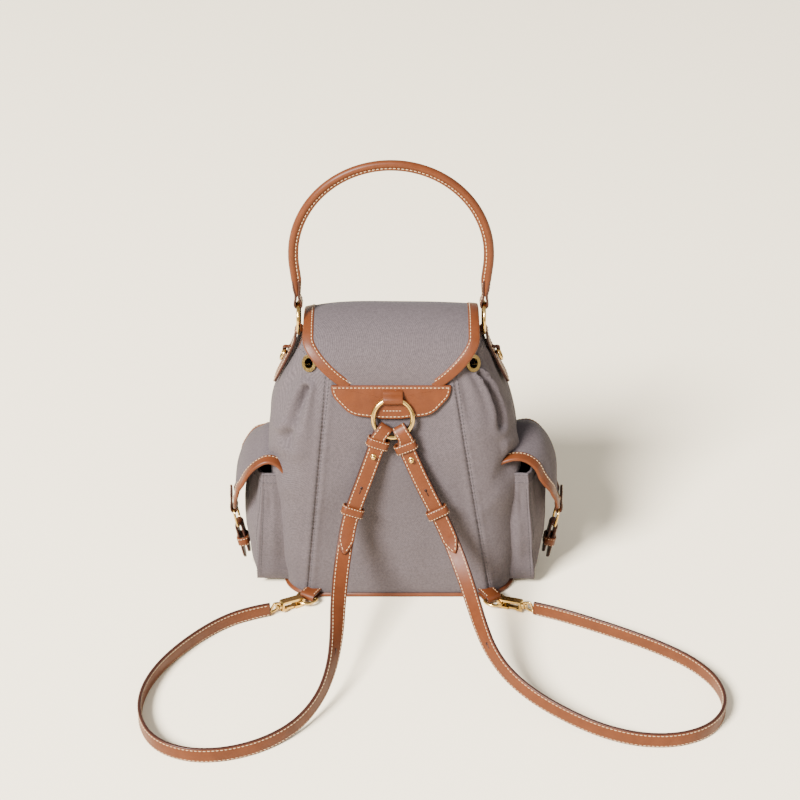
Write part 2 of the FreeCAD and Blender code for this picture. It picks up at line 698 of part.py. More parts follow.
for side, side_name in ((-1, "left"), (1, "right")):
    whole = lofted(f"{side_name}_pocket_whole", pocket_sections(side, 0.0, 0.0, 0.0))
    cavity = lofted(f"{side_name}_pocket_cavity", pocket_sections(side, dim("canvas"), dim("canvas"), 0.01))
    walls = cut(f"{side_name}_pocket_walls", whole, cavity)
    keep(cut(f"{side_name}_pocket_solid", walls, envelope), f"{side_name}_pocket")
    edge_at = size(dim("pocket_axis") + side * (FLAP_ARC_AT + DIMENSIONS["pocket_flap_radius"])).value
    place_at = (edge_at, -CLOSURE_SHIFT, DIMENSIONS["pocket_flap_end"])
    spin = Rotation(Vector(0, 0, 1), 0 if side > 0 else 180) * Rotation(Vector(0, 1, 0), CLOSURE_LEAN)
    canvas_region = pocket_region(f"{side_name}_sheet_region", side, size(7.0))
    fabric = pocket_band(f"{side_name}_flap_band", side, -2.0, 0.0)
    keep(common(f"{side_name}_flap_solid", fabric, canvas_region), f"{side_name}_pocket_flap")
    bound = common(f"{side_name}_flap_edge", pocket_band(f"{side_name}_edge_band", side, -2.5, 0.5),
                   pocket_region(f"{side_name}_flap_outline", side, 0.0))
    rim = cut(f"{side_name}_flap_rim", bound,
              pocket_region(f"{side_name}_sheet_region_again", side, size(7.0)))
    tip = closure_tip(f"{side_name}_pocket", place_at, spin)
    keep(fuse(f"{side_name}_flap_binding_solid", [rim, tip]), f"{side_name}_pocket_binding")
    closure(f"{side_name}_pocket", place_at, spin)

# ---------------------------------------------------------------- base tabs, D rings, snap hooks


class Frame:
    """A local frame: an origin with its own X, Y and Z directions."""

    def __init__(self, origin, ahead, up=Vector(0, 0, 1)):
        self.origin = Vector(*origin)
        self.x = Vector(*ahead).normalize()
        self.y = up.cross(self.x).normalize()
        self.z = self.x.cross(self.y)

    def placement(self):
        turn = Rotation(self.x, self.y, self.z, "ZXY")
        return Placement(self.origin, turn)

    def point(self, along, across, up):
        return self.origin + self.x * along + self.y * across + self.z * up


HOOK_REACH = 38.7
EYE_HEIGHT = 9.2
EYE_LEAN = 28.0
HARDWARE = {
    "left": {"tab": (-79.5, -67.5), "heading": (-0.5, -0.866), "hook": (-0.83, -0.555)},
    "right": {"tab": (96.5, -70.5), "heading": (0.5, -0.866), "hook": (0.90, -0.43)},
}


def hook_frame(side_name):
    """The hook's frame: origin in the eye's bar, X along the hook towards the D ring."""
    spec = HARDWARE[side_name]
    heading = Vector(*spec["heading"], 0).normalize()
    away = Vector(*spec["hook"], 0).normalize()
    centre = Vector(*spec["tab"], DIMENSIONS["dee_height"]) + heading * 3.0
    eye = centre + away * HOOK_REACH
    eye.z = EYE_HEIGHT
    crossing = centre + away * DIMENSIONS["dee_radius"]
    return Frame(eye, crossing - eye)


def dee_ring(side_name, spec):
    """The straight bar and round bow of a D ring lying flat, and the leather tab that holds it."""
    tab_at = Frame(Vector(*spec["tab"], DIMENSIONS["dee_height"]), Vector(*spec["heading"], 0))
    radius = dim("dee_radius")
    wire = dim("dee_wire")
    body = document.addObject("PartDesign::Body", f"{side_name}_dee_body")
    path = sketch_on(body, f"{side_name}_dee_path", "XY_Plane")
    draw(path, (0.0, 0.0), (0.0, radius))
    draw(path, (0.0, radius), (3.0, radius))
    draw(path, (3.0, radius), (radius + 3.0, 0.0), radius)
    draw(path, (radius + 3.0, 0.0), (3.0, -radius), radius)
    draw(path, (3.0, -radius), (0.0, -radius))
    draw(path, (0.0, -radius), (0.0, 0.0))
    profile = sketch_on(body, f"{side_name}_dee_profile", "XZ_Plane")
    index = profile.addGeometry(Part.Circle(Vector(0, 0, 0), Vector(0, 0, 1), wire.value), False)
    profile.addConstraint(Sketcher.Constraint("Coincident", index, 3, -1, 1))
    number = profile.addConstraint(Sketcher.Constraint("Radius", index, wire.value))
    profile.setExpression(f"Constraints[{number}]", wire.text)
    pipe = body.newObject("PartDesign::AdditivePipe", f"{side_name}_dee_pipe")
    pipe.Profile = profile
    pipe.Spine = (path, [f"Edge{n}" for n in range(1, 7)])
    pipe.Transition = "Round corner"
    body.Placement = tab_at.placement()
    keep(body, f"{side_name}_dee_ring")
    plate = box(f"{side_name}_base_tab_plate", 30.0, 15.0, 4.6)
    plate.Placement = Placement(tab_at.point(-30.0, -7.5, -2.3), tab_at.placement().Rotation)
    fold = cylinder(f"{side_name}_base_tab_fold", 3.7, 15.0)
    fold.Placement = Placement(tab_at.point(0, 7.5, 0), tab_at.placement().Rotation * ACROSS)
    bore = cylinder(f"{side_name}_base_tab_bore", wire + 0.08, 40.0)
    bore.Placement = Placement(tab_at.point(0, 20.0, 0), tab_at.placement().Rotation * ACROSS)
    whole = fuse(f"{side_name}_base_tab_whole", [plate, fold])
    trimmed = cut(f"{side_name}_base_tab_trimmed", whole, envelope)
    keep(cut(f"{side_name}_base_tab_solid", trimmed, bore), f"{side_name}_base_tab")


HOOK_WIDE = 7.0
HOOK_TALL = 4.9
HOOK_GAP = 2.6
PIVOT = (13.6, -3.8)


def snap_hook(side_name):
    """A flat bar hook with its swivel pin, the sprung gate under it and the eye behind it."""
    at = hook_frame(side_name)
    turn = at.placement().Rotation
    ahead = Rotation(Vector(0, 1, 0), 90)
    profile = padded(f"{side_name}_hook_profile", "XZ_Plane", [
        (10.0, -HOOK_TALL), (12.2, -HOOK_TALL), (12.2, HOOK_GAP), (30.1, HOOK_GAP),
        (32.4, HOOK_GAP - 2.3, -2.3), (32.4, 2.3 - HOOK_GAP), (30.1, -HOOK_GAP, -2.3), (24.0, -HOOK_GAP),
        (24.0, -HOOK_TALL), (30.6, -HOOK_TALL), (34.7, 4.1 - HOOK_TALL, 4.1),
        (34.7, HOOK_TALL - 4.1), (30.6, HOOK_TALL, 4.1), (12.0, HOOK_TALL), (10.0, HOOK_TALL - 2.0, 2.0),
    ], HOOK_WIDE, -HOOK_WIDE / 2)
    cheeks = [box(f"{side_name}_cheek_{n}", 3.4, 1.2, 2.3, (12.1, start, -HOOK_TALL))
              for n, start in enumerate((-HOOK_WIDE / 2, HOOK_WIDE / 2 - 1.2))]
    axle = cylinder(f"{side_name}_gate_axle", 0.6, 6.6, (PIVOT[0], 3.3, PIVOT[1]), ACROSS)
    stem = cylinder(f"{side_name}_swivel_stem", 1.6, 4.4, (6.2, 0.0, 0.0), ahead)
    head = cylinder(f"{side_name}_swivel_head", 2.4, 1.3, (5.2, 0.0, 0.0), ahead)
    hook = fuse(f"{side_name}_hook_solid", [profile] + cheeks + [axle, stem, head])
    hook.Placement = at.placement()
    keep(hook, f"{side_name}_hook")
    bar = box(f"{side_name}_gate_bar", 23.8 - PIVOT[0], 4.2, 2.2, (PIVOT[0], -2.1, PIVOT[1] - 1.1))
    knuckle = cylinder(f"{side_name}_gate_knuckle", 1.1, 4.2, (PIVOT[0], 2.1, PIVOT[1]), ACROSS)
    bore = cylinder(f"{side_name}_gate_bore", 0.66, 10.0, (PIVOT[0], 5.0, PIVOT[1]), ACROSS)
    gate = cut(f"{side_name}_gate_solid", fuse(f"{side_name}_gate_whole", [bar, knuckle]), bore)
    gate.Placement = at.placement()
    keep(gate, f"{side_name}_hook_gate")
    bow = torus(f"{side_name}_eye_bow", dim("eye_radius"), dim("eye_wire"), (0, 0, 0), ACROSS)
    behind = box(f"{side_name}_eye_behind", 30.0, 30.0, 30.0, (-30.0, -15.0, -15.0))
    half_bow = cut(f"{side_name}_eye_half", bow, behind)
    straight = cylinder(f"{side_name}_eye_bar", dim("eye_wire"), dim("eye_radius") * 2,
                        (0.0, 0.0, -dim("eye_radius")))
    corners = []
    for sign in (-1, 1):
        corners.append(primitive("Part::Sphere", f"{side_name}_eye_corner_{sign + 1}",
                                 (0.0, 0.0, dim("eye_radius") * sign), Radius=dim("eye_wire")))
    collar = cylinder(f"{side_name}_eye_collar", 3.1, 2.7, (7.1, 0.0, 0.0), ahead)
    pinhole = cylinder(f"{side_name}_eye_pinhole", 1.66, 8.0, (4.0, 0.0, 0.0), ahead)
    whole = fuse(f"{side_name}_eye_whole", [half_bow, straight] + corners + [collar])
    eye = cut(f"{side_name}_eye_solid", whole, pinhole)
    lean = EYE_LEAN if side_name == "left" else -EYE_LEAN
    eye.Placement = Placement(at.origin, turn * Rotation(Vector(1, 0, 0), lean))
    keep(eye, f"{side_name}_hook_eye")
    hook_eyes[side_name] = eye
    print(side_name, "hook eye", [round(v, 2) for v in at.origin], "hook axis", [round(v, 4) for v in at.x],
          "gate pivot", [round(v, 2) for v in at.point(PIVOT[0], 0, PIVOT[1])], "gate axis",
          [round(v, 4) for v in at.y])


hook_eyes = {}
for side_name, spec in HARDWARE.items():
    dee_ring(side_name, spec)
    snap_hook(side_name)

# ---------------------------------------------------------------- shoulder straps

# Hand-chosen points of each strap's middle line, from just under the carry ring to the hook's
# eye. The last number is the strap's turn: 0 lies flat against the back, 1 stands on edge.
ROUTES = {
    "left": [
        (-11.5, -66.5, 181.0, 0.0), (-19.5, -70.5, 157.0, 0.0), (-29.5, -75.5, 130.0, 0.0),
        (-38.5, -81.5, 105.0, 0.0), (-43.0, -93.0, 83.0, 0.06), (-46.5, -113.5, 65.5, 0.16),
        (-48.5, -140.0, 52.0, 0.3), (-49.0, -169.0, 39.0, 0.46), (-52.5, -200.0, 26.5, 0.64),
        (-62.5, -231.0, 16.0, 0.84), (-82.0, -260.5, 9.6, 0.97), (-110.0, -282.5, 7.8, 1.0),
        (-143.0, -295.0, 7.8, 1.0), (-176.0, -295.0, 7.8, 1.0), (-205.0, -279.5, 7.8, 1.0),
        (-220.5, -249.0, 7.8, 1.0), (-222.0, -214.0, 7.8, 1.0), (-211.0, -178.5, 7.8, 1.0),
        (-189.0, -143.5, 7.8, 1.0), (-162.0, -114.0, 7.8, 1.0), (-136.0, -98.0, 8.2, 0.9),
        (-114.6, -92.3, 9.0, 0.72),
    ],
    "right": [
        (12.5, -66.5, 177.0, 0.0), (22.5, -70.5, 153.0, 0.0), (34.5, -75.5, 127.0, 0.0),
        (47.0, -81.5, 103.0, 0.0), (57.5, -92.0, 81.0, 0.05), (66.5, -111.0, 64.0, 0.12),
        (74.0, -135.5, 52.5, 0.22), (80.5, -161.5, 43.5, 0.34), (89.0, -188.0, 35.5, 0.47),
        (103.0, -212.0, 28.0, 0.61), (124.0, -232.0, 20.5, 0.75), (150.0, -248.5, 14.2, 0.89),
        (181.0, -265.0, 9.4, 1.0), (215.0, -276.0, 7.8, 1.0), (250.0, -276.0, 7.8, 1.0),
        (280.0, -261.5, 7.8, 1.0), (296.0, -233.0, 7.8, 1.0), (293.0, -200.5, 7.8, 1.0),
        (274.5, -171.5, 7.8, 1.0), (246.0, -148.0, 7.8, 1.0), (213.0, -127.5, 7.8, 1.0),
        (180.0, -109.5, 7.8, 1.0), (153.0, -96.5, 8.2, 0.9), (134.2, -90.5, 9.0, 0.72),
    ],
}
ARC_STEPS = 3
TONGUE_LENGTH = 112.0
TIP_STEPS = 5


def rounded_route(points):
    """Straight runs joined by tangent arcs, as stations (position, heading, turn) and one wire."""
    places = [Vector(*point[:3]) for point in points]
    edges = []
    radii = []
    stations = [(places[0], (places[1] - places[0]).normalize(), points[0][3])]
    start = places[0]
    for before, here, after, point in zip(places, places[1:], places[2:], points[1:]):
        into = here - before
        out = after - here
        angle = into.getAngle(out)
        reach = 0.45 * min(into.Length, out.Length)
        radius = reach / math.tan(angle / 2)
        radii.append(radius)
        into_unit = Vector(into).normalize()
        out_unit = Vector(out).normalize()
        first = here - into_unit * reach
        last = here + out_unit * reach
        centre = here + (out_unit - into_unit).normalize() * (radius / math.cos(angle / 2))
        middle = centre + (here - centre).normalize() * radius
        arc = Part.Arc(first, middle, last)
        edges.append(Part.LineSegment(start, first).toShape())
        edges.append(arc.toShape())
        for step in range(ARC_STEPS + 1):
            value = arc.FirstParameter + (arc.LastParameter - arc.FirstParameter) * step / ARC_STEPS
            stations.append((arc.value(value), Vector(*arc.tangent(value)[0]), point[3]))
        start = last
    edges.append(Part.LineSegment(start, places[-1]).toShape())
    stations.append((places[-1], (places[-1] - places[-2]).normalize(), points[-1][3]))
    return stations, Part.Wire(edges), radii


def strap_axes(side, heading, turn):
    """The strap's outward face and width directions at one station."""
    flat = Vector(0, -1, 0.15)
    flat = (flat - heading * flat.dot(heading)).normalize()
    edge = Vector(-heading.y, heading.x, 0) * (-side)
    edge = (edge - heading * edge.dot(heading)).normalize()
    face = flat * (1 - turn) + edge * turn
    face = (face - heading * face.dot(heading)).normalize()
    return face, heading.cross(face).normalize()


def smooth_turns(stations):
    """Spread the turn evenly along the route between the middles of its bends."""
    length = [0.0]
    for (a, _, _), (b, _, _) in zip(stations, stations[1:]):
        length.append(length[-1] + (b - a).Length)
    knots = [0] + list(range(1 + ARC_STEPS // 2, len(stations) - 1, ARC_STEPS + 1)) + [len(stations) - 1]
    smoothed = []
    for index, (place_at, heading, _) in enumerate(stations):
        right = next(k for k in range(1, len(knots)) if knots[k] >= index)
        low, high = knots[right - 1], knots[right]
        share = (length[index] - length[low]) / (length[high] - length[low])
        turn = stations[low][2] * (1 - share) + stations[high][2] * share
        smoothed.append((place_at, heading, turn))
    return smoothed


def ribbon(side, stations, thickness, lift, halves):
    """A flat strap: one ruled solid through upright rectangles, raised off its middle line."""
    wires = []
    for (place_at, heading, turn), half in zip(stations, halves):
        face, across = strap_axes(side, heading, turn)
        middle = place_at + face * lift
        corners = [middle + across * (a * half) + face * (b * thickness / 2)
                   for a, b in ((-1, -1), (1, -1), (1, 1), (-1, 1))]
        wires.append(Part.makePolygon(corners + corners[:1]))
    return Part.makeLoft(wires, True, True)


def part_feature(shape, name):
    """A piece whose shape is made directly, kept as a node."""
    thing = document.addObject("Part::Feature", f"{name}_solid")
    thing.Shape = shape
    thing.Placement = Placement()
    return keep(thing, name)


def station_at(stations, distance):
    """The station at a distance along the route, with its heading and turn interpolated."""
    for (a, ahead_a, turn_a), (b, ahead_b, turn_b) in zip(stations, stations[1:]):
        span = (b - a).Length
        if distance <= span:
            share = distance / span
            heading = (ahead_a * (1 - share) + ahead_b * share).normalize()
            return a + (b - a) * share, heading, turn_a * (1 - share) + turn_b * share
        distance -= span
    return stations[-1]


def block_on(side, station, along, across, out, lift, slide=0.0):
    """A block centred on the strap at a station, standing off along the outward face."""
    at, heading, turn = station
    face, wide = strap_axes(side, heading, turn)
    block = Part.makeBox(along, across, out, Vector(-along / 2 + slide, -across / 2, -out / 2))
    block.Placement = Placement(at + face * lift, Rotation(heading, face.cross(heading), face, "ZXY"))
    return block


STRAP_WIDTH = float(sheet.get("strap_width"))
STRAP_THICK = float(sheet.get("strap_thickness"))
TONGUE_THICK = float(sheet.get("tongue_thickness"))
LIFT = (STRAP_THICK + TONGUE_THICK) / 2 + 0.05
KEEPERS = (9.0, 78.0)
STUD_AT = 24.0
KEYHOLES = (56.0,)


def shoulder_strap(side, side_name, ring_angle):
    """One strap, its doubled-back tongue with the fold round the ring, keepers and stud."""
    stations, wire, radii = rounded_route(ROUTES[side_name])
    stations = smooth_turns(stations)
    solid = ribbon(side, stations, STRAP_THICK, 0.0, [STRAP_WIDTH / 2] * len(stations))
    solid = solid.cut(hook_eyes[side_name].Shape)
    ideal = STRAP_WIDTH * STRAP_THICK * wire.Length
    print(f"{side_name} strap length {wire.Length:.1f} volume ratio {solid.Volume / ideal:.4f} radii",
          [round(r) for r in radii])
    part_feature(solid, f"{side_name}_shoulder_strap")

    tongue_stations = [station_at(stations, TONGUE_LENGTH * n / 14) for n in range(15)]
    halves = [STRAP_WIDTH / 2] * 15
    for n in range(1, TIP_STEPS + 1):
        ahead = STRAP_WIDTH * 0.62 * n / TIP_STEPS
        tongue_stations.append(station_at(stations, TONGUE_LENGTH + ahead))
        halves.append(max(STRAP_WIDTH / 2 * math.sqrt(1 - (n / TIP_STEPS) ** 2), 1.6))
    tongue = ribbon(side, tongue_stations, TONGUE_THICK, LIFT, halves)
    for distance in KEYHOLES:
        tongue = tongue.cut(block_on(side, station_at(stations, distance), 7.0, 2.2, 9.0, LIFT))
    angle = math.radians(ring_angle)
    radius = DIMENSIONS["ring_radius"]
    knuckle_at = on_slope(RING_ACROSS + radius * math.cos(angle),
                          RING_DOWN - radius * math.sin(angle), RING_OUT)
    outward = SLOPE.multVec(Vector(math.cos(angle), math.sin(angle), 0))
    tangent = SLOPE.multVec(Vector(-math.sin(angle), math.cos(angle), 0))
    knuckle = Part.makeCylinder(5.2, 13.0, knuckle_at - tangent * 6.5, tangent)
    first, heading, turn = stations[0]
    face, wide = strap_axes(side, heading, turn)
    square = ((-1, -1), (1, -1), (1, 1), (-1, 1), (-1, -1))
    over = outward.cross(tangent)
    bridge = Part.makeLoft([
        Part.makePolygon([knuckle_at + outward * 3.6 + tangent * (6.5 * a) + over * (3.6 * b)
                          for a, b in square]),
        Part.makePolygon([first - wide * (STRAP_WIDTH / 2 * a) + face * (LIFT / 2 + 2.9 * b)
                          for a, b in square]),
    ], True, True)
    fold = knuckle.fuse(bridge)
    whole = tongue.fuse(fold).cut(solid).cut(ring_room.Shape)
    part_feature(whole, f"{side_name}_strap_tongue")
    print(f"{side_name} fold volume", round(bridge.Volume), bridge.isValid(), "tongue", round(tongue.Volume))

    for number, distance in enumerate(KEEPERS, start=1):
        spot = station_at(stations, distance)
        outer = block_on(side, spot, 7.0, STRAP_WIDTH + 3.6, STRAP_THICK + TONGUE_THICK + 3.6, LIFT / 2)
        inner = block_on(side, spot, 9.0, STRAP_WIDTH + 0.4, STRAP_THICK + TONGUE_THICK + 0.6, LIFT / 2)
        part_feature(outer.cut(inner), f"{side_name}_keeper_{number}")
    at, heading, turn = station_at(stations, STUD_AT)
    face, wide = strap_axes(side, heading, turn)
    base = at + face * (LIFT + TONGUE_THICK / 2)
    stud = Part.makeCylinder(1.3, 1.6, base, face).fuse(Part.makeSphere(2.1, base + face * 2.6))
    part_feature(stud, f"{side_name}_stud")


document.recompute()
for side, side_name, ring_angle in ((-1, "left", 232.0), (1, "right", 302.0)):
    shoulder_strap(side, side_name, ring_angle)

# ---------------------------------------------------------------- check and write

document.recompute()
for thing in document.Objects:
    if "Invalid" in thing.State or "Error" in thing.State:
        raise RuntimeError(f"{thing.Name} did not build: {thing.State}")
for thing in nodes:
    shape = thing.Shape
    if shape.isNull() or not shape.isValid() or len(shape.Solids) != 1:
        raise RuntimeError(f"{thing.Label} is not one sound solid")

os.makedirs("parts", exist_ok=True)
for thing in nodes:
    thing.Shape.exportStep(f"parts/{thing.Label}.step")
print(len(nodes), "nodes written")
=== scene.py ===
import json
import math

import bpy
import numpy as np
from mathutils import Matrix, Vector, noise


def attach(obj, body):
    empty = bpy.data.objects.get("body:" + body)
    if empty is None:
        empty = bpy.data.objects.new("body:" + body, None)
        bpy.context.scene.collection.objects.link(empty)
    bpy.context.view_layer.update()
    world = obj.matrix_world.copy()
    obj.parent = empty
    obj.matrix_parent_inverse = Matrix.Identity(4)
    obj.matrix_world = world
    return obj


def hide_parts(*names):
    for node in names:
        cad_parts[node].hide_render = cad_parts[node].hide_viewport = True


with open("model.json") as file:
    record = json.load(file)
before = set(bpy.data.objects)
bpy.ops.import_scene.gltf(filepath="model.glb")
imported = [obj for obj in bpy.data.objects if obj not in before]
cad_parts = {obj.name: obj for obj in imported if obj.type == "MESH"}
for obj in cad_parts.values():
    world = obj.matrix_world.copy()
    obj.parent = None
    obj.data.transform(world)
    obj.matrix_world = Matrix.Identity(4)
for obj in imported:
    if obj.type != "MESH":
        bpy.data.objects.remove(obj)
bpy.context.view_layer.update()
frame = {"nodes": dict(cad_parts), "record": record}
NODES = frame["nodes"]
SIDES = ((-1, "left"), (1, "right"))
MM = 0.001
X_AXIS, Y_AXIS, Z_AXIS = np.eye(3)

# ---------------------------------------------------------------- camera

camera_data = bpy.data.cameras.new("camera")
camera_data.lens = 85.0
camera_data.sensor_width = 36.0
camera_data.dof.use_dof = False
camera = bpy.data.objects.new("camera", camera_data)
bpy.context.scene.collection.objects.link(camera)
CAMERA_DOWN = math.radians(31.0)
CAMERA_AWAY = 1.7
LOOK_AT = Vector((0.008, -0.062, 0.221))
camera.location = LOOK_AT - CAMERA_AWAY * Vector((0, math.cos(CAMERA_DOWN), -math.sin(CAMERA_DOWN)))
camera.rotation_euler = (math.pi / 2 - CAMERA_DOWN, 0, 0)
bpy.context.scene.camera = camera

# ---------------------------------------------------------------- materials


class Nodes:
    """A small builder for one material's node tree."""

    def __init__(self, name):
        self.material = bpy.data.materials.new(name)
        self.material.use_nodes = True
        self.tree = self.material.node_tree
        self.shader = self.tree.nodes["Principled BSDF"]

    def add(self, kind, settings=None, **inputs):
        node = self.tree.nodes.new(kind)
        for key, value in (settings or {}).items():
            setattr(node, key, value)
        for key, value in inputs.items():
            self.feed(node.inputs[key.replace("_", " ")], value)
        return node

    def feed(self, socket, value):
        if isinstance(value, bpy.types.NodeSocket):
            self.tree.links.new(value, socket)
        else:
            socket.default_value = value

    def math(self, operation, *values):
        node = self.add("ShaderNodeMath", {"operation": operation})
        for socket, value in zip(node.inputs, values):
            self.feed(socket, value)
        return node.outputs[0]

    def place(self):
        return self.add("ShaderNodeTexCoord").outputs["Object"]

    def noise(self, scale, detail=3.0, rough=0.5):
        return self.add("ShaderNodeTexNoise", Vector=self.place(), Scale=scale, Detail=detail,
                        Roughness=rough).outputs["Fac"]

    def ramp(self, value, *stops):
        """Colours, or greys given as one number, at places from 0 to 1."""
        node = self.add("ShaderNodeValToRGB", Fac=value)
        for point, (at, colour) in zip(node.color_ramp.elements, stops):
            point.position = at
            point.color = (colour,) * 3 + (1.0,) if isinstance(colour, float) else (*colour, 1.0)
        return node.outputs["Color"]

    def multiply(self, a, b):
        node = self.add("ShaderNodeMix", {"data_type": "RGBA", "blend_type": "MULTIPLY"})
        for index, value in ((0, 1.0), (6, a), (7, b)):
            self.feed(node.inputs[index], value)
        return node.outputs[2]

    def bump(self, height, strength, distance):
        node = self.add("ShaderNodeBump", Height=height, Strength=strength, Distance=distance)
        return node.outputs["Normal"]

    def set(self, **values):
        for key, value in values.items():
            self.feed(self.shader.inputs[key.replace("_", " ")], value)
        return self.material


def shade(colour, factor):
    return tuple(min(1.0, channel * factor) for channel in colour)


def cloth_material(name, colour, pitch, twill, depth=0.35):
    """A woven cloth: twill lines or a plain weave at a real thread pitch, with soft mottling."""
    n = Nodes(name)
    x, y, z = n.add("ShaderNodeSeparateXYZ", Vector=n.place()).outputs
    turn = 2 * math.pi / pitch
    flat = n.math("ADD", x, y)
    if twill:
        lines = (n.math("SUBTRACT", flat, z), turn / math.sqrt(2)), (n.math("ADD", flat, z), turn / 1.1)
    else:
        lines = (flat, turn), (n.math("ADD", z, y), turn)
    wave, cross = (n.math("SINE", n.math("MULTIPLY", run, rate)) for run, rate in lines)
    weave = n.math("MULTIPLY_ADD", cross, 0.35, wave)
    fuzz = n.noise(2600.0, 2.0)
    height = n.math("ADD", n.math("MULTIPLY", weave, 0.3), n.math("MULTIPLY", fuzz, 0.5))
    level = n.math("MULTIPLY_ADD", weave, 0.25, 0.5)
    thread = n.ramp(level, (0.0, shade(colour, 0.72)), (1.0, shade(colour, 1.2)))
    mottle = n.ramp(n.noise(14.0, 4.0), (0.3, 0.93), (0.7, 1.0))
    speck = n.ramp(n.noise(560.0, 3.0), (0.35, 0.8), (0.65, 1.06))
    return n.set(Base_Color=n.multiply(n.multiply(thread, mottle), speck), Roughness=0.93,
                 Normal=n.bump(height, depth, 0.0004), Sheen_Weight=0.03, Sheen_Roughness=0.45,
                 Specular_IOR_Level=0.2)


def leather_material(name, colour, rough=0.42, grain=0.25):
    """Smooth vegetable-tanned leather with fine grain, pores and a darker mottle."""
    n = Nodes(name)
    cloud = n.ramp(n.noise(38.0, 5.0, 0.6), (0.25, shade(colour, 0.78)), (0.75, shade(colour, 1.08)))
    pores = n.add("ShaderNodeTexVoronoi", Vector=n.place(), Scale=1400.0)
    creases = n.noise(420.0, 6.0, 0.65)
    height = n.math("ADD", n.math("MULTIPLY", pores.outputs["Distance"], 0.5), creases)
    spots = n.ramp(n.noise(160.0, 3.0), (0.3, (0.9, 0.87, 0.85)), (0.6, 1.0))
    gloss = n.ramp(n.noise(70.0, 3.0), (0.3, rough - 0.06), (0.7, rough + 0.1))
    return n.set(Base_Color=n.multiply(cloud, spots), Roughness=gloss,
                 Normal=n.bump(height, grain, 0.0003), Coat_Weight=0.03, Coat_Roughness=0.35,
                 Specular_IOR_Level=0.16)


def brass_material(name):
    """Polished brass with faint handling marks."""
    n = Nodes(name)
    stain = n.ramp(n.noise(60.0, 4.0), (0.3, (0.46, 0.29, 0.085)), (0.7, (0.62, 0.42, 0.15)))
    rub = n.ramp(n.noise(300.0, 4.0, 0.7), (0.3, 0.14), (0.75, 0.30))
    return n.set(Base_Color=stain, Metallic=1.0, Roughness=rub,
                 Normal=n.bump(n.noise(500.0, 3.0), 0.06, 0.0002))


def thread_material(name, colour):
    """Waxed sewing thread with its twist."""
    n = Nodes(name)
    x, y, z = n.add("ShaderNodeSeparateXYZ", Vector=n.place()).outputs
    run = n.math("ADD", n.math("ADD", x, y), z)
    twist = n.math("SINE", n.math("MULTIPLY", run, 9000.0))
    tone = n.ramp(n.noise(240.0, 2.0), (0.3, shade(colour, 0.82)), (0.7, colour))
    return n.set(Base_Color=tone, Roughness=0.7, Normal=n.bump(twist, 0.2, 0.0002))


CANVAS = (0.074, 0.0595, 0.0635)
LEATHER = (0.090, 0.0242, 0.0072)
canvas = cloth_material("canvas_twill", CANVAS, 0.0013, True)
canvas_in = cloth_material("lining_cloth", (0.34, 0.29, 0.235), 0.0009, False, 0.25)
board_cloth = cloth_material("board_cloth", (0.26, 0.22, 0.18), 0.0011, False, 0.25)
leather = leather_material("leather_tan", LEATHER)
# dark leather for the painted edges, also used as painted shade for the strap holes
leather_dark = leather_material("leather_painted_edge_and_hole_shade", (0.034, 0.012, 0.008), 0.36, 0.12)
leather_deep = leather_material("leather_deep", shade(LEATHER, 0.42))
brass = brass_material("brass_polished")
cream = thread_material("thread_cream", (0.50, 0.345, 0.20))
slate = thread_material("thread_slate", (0.022, 0.019, 0.021))

FINISHES = {"canvas": canvas, "lining_cloth": canvas_in, "stiff_board": board_cloth,
            "leather": leather, "keeper_leather": leather, "brass": brass}
for part in frame["record"]["subparts"]:
    NODES[part["node"]].data.materials.clear()
    NODES[part["node"]].data.materials.append(FINISHES[part["material_slot"]])

# ---------------------------------------------------------------- mesh tools


def unit(v):
    v = np.asarray(v, float)
    size = np.linalg.norm(v, axis=-1, keepdims=True)
    return v / np.maximum(size, 1e-12)


def square(vectors, ahead):
    """Unit vectors turned to be at right angles to the directions ahead."""
    return unit(vectors - ahead * np.sum(vectors * ahead, axis=-1, keepdims=True))


def facing(vectors, hint):
    """The vectors, turned round where they point away from the hint."""
    return vectors * np.sign(np.sum(vectors * hint, axis=-1, keepdims=True))


def repeat(vector, count):
    return np.repeat(np.asarray(vector, float)[None], count, 0)


def distances(points):
    """How far along a polyline each of its points is."""
    return np.concatenate([[0], np.cumsum(np.linalg.norm(np.diff(points, axis=0), axis=1))])


def make(name, points, faces, materials, body, replaces=(), slot=None, choice=None):
    """A smooth-shaded mesh piece that rides on a body and stands for some CAD nodes."""
    mesh = bpy.data.meshes.new(name)
    mesh.from_pydata([tuple(p) for p in np.asarray(points)], [], [tuple(f) for f in faces])
    for material in materials if isinstance(materials, (list, tuple)) else [materials]:
        mesh.materials.append(material)
    mesh.polygons.foreach_set("use_smooth", [True] * len(mesh.polygons))
    if choice is not None:
        mesh.polygons.foreach_set("material_index", list(choice))
    mesh.update()
    piece = bpy.data.objects.new(name, mesh)
    bpy.context.scene.collection.objects.link(piece)
    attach(piece, body)
    if replaces:
        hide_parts(*replaces)
    return piece


def grid_faces(rows, columns, around=False, over=False, base=0):
    """Quads of a rows by columns grid of points, closed around or over if asked."""
    faces = []
    for r in range(rows if over else rows - 1):
        for c in range(columns if around else columns - 1):
            a = r * columns + c
            b = r * columns + (c + 1) % columns
            up = ((r + 1) % rows) * columns
            faces.append((base + a, base + b, base + up + (c + 1) % columns, base + up + c))
    return faces


def rounded(width, thick, radius, steps=4):
    """A rounded rectangle as (across, up) pairs, counter-clockwise."""
    points = []
    for sx, sy, start in ((1, -1, -90), (1, 1, 0), (-1, 1, 90), (-1, -1, 180)):
        for k in range(steps + 1):
            angle = math.radians(start + 90.0 * k / steps)
            points.append((sx * (width / 2 - radius) + radius * math.cos(angle),
                           sy * (thick / 2 - radius) + radius * math.sin(angle)))
    return np.array(points)


def ring_section(radius, steps=14):
    return np.array([(radius * math.cos(2 * math.pi * k / steps), radius * math.sin(2 * math.pi * k / steps))
                     for k in range(steps)])


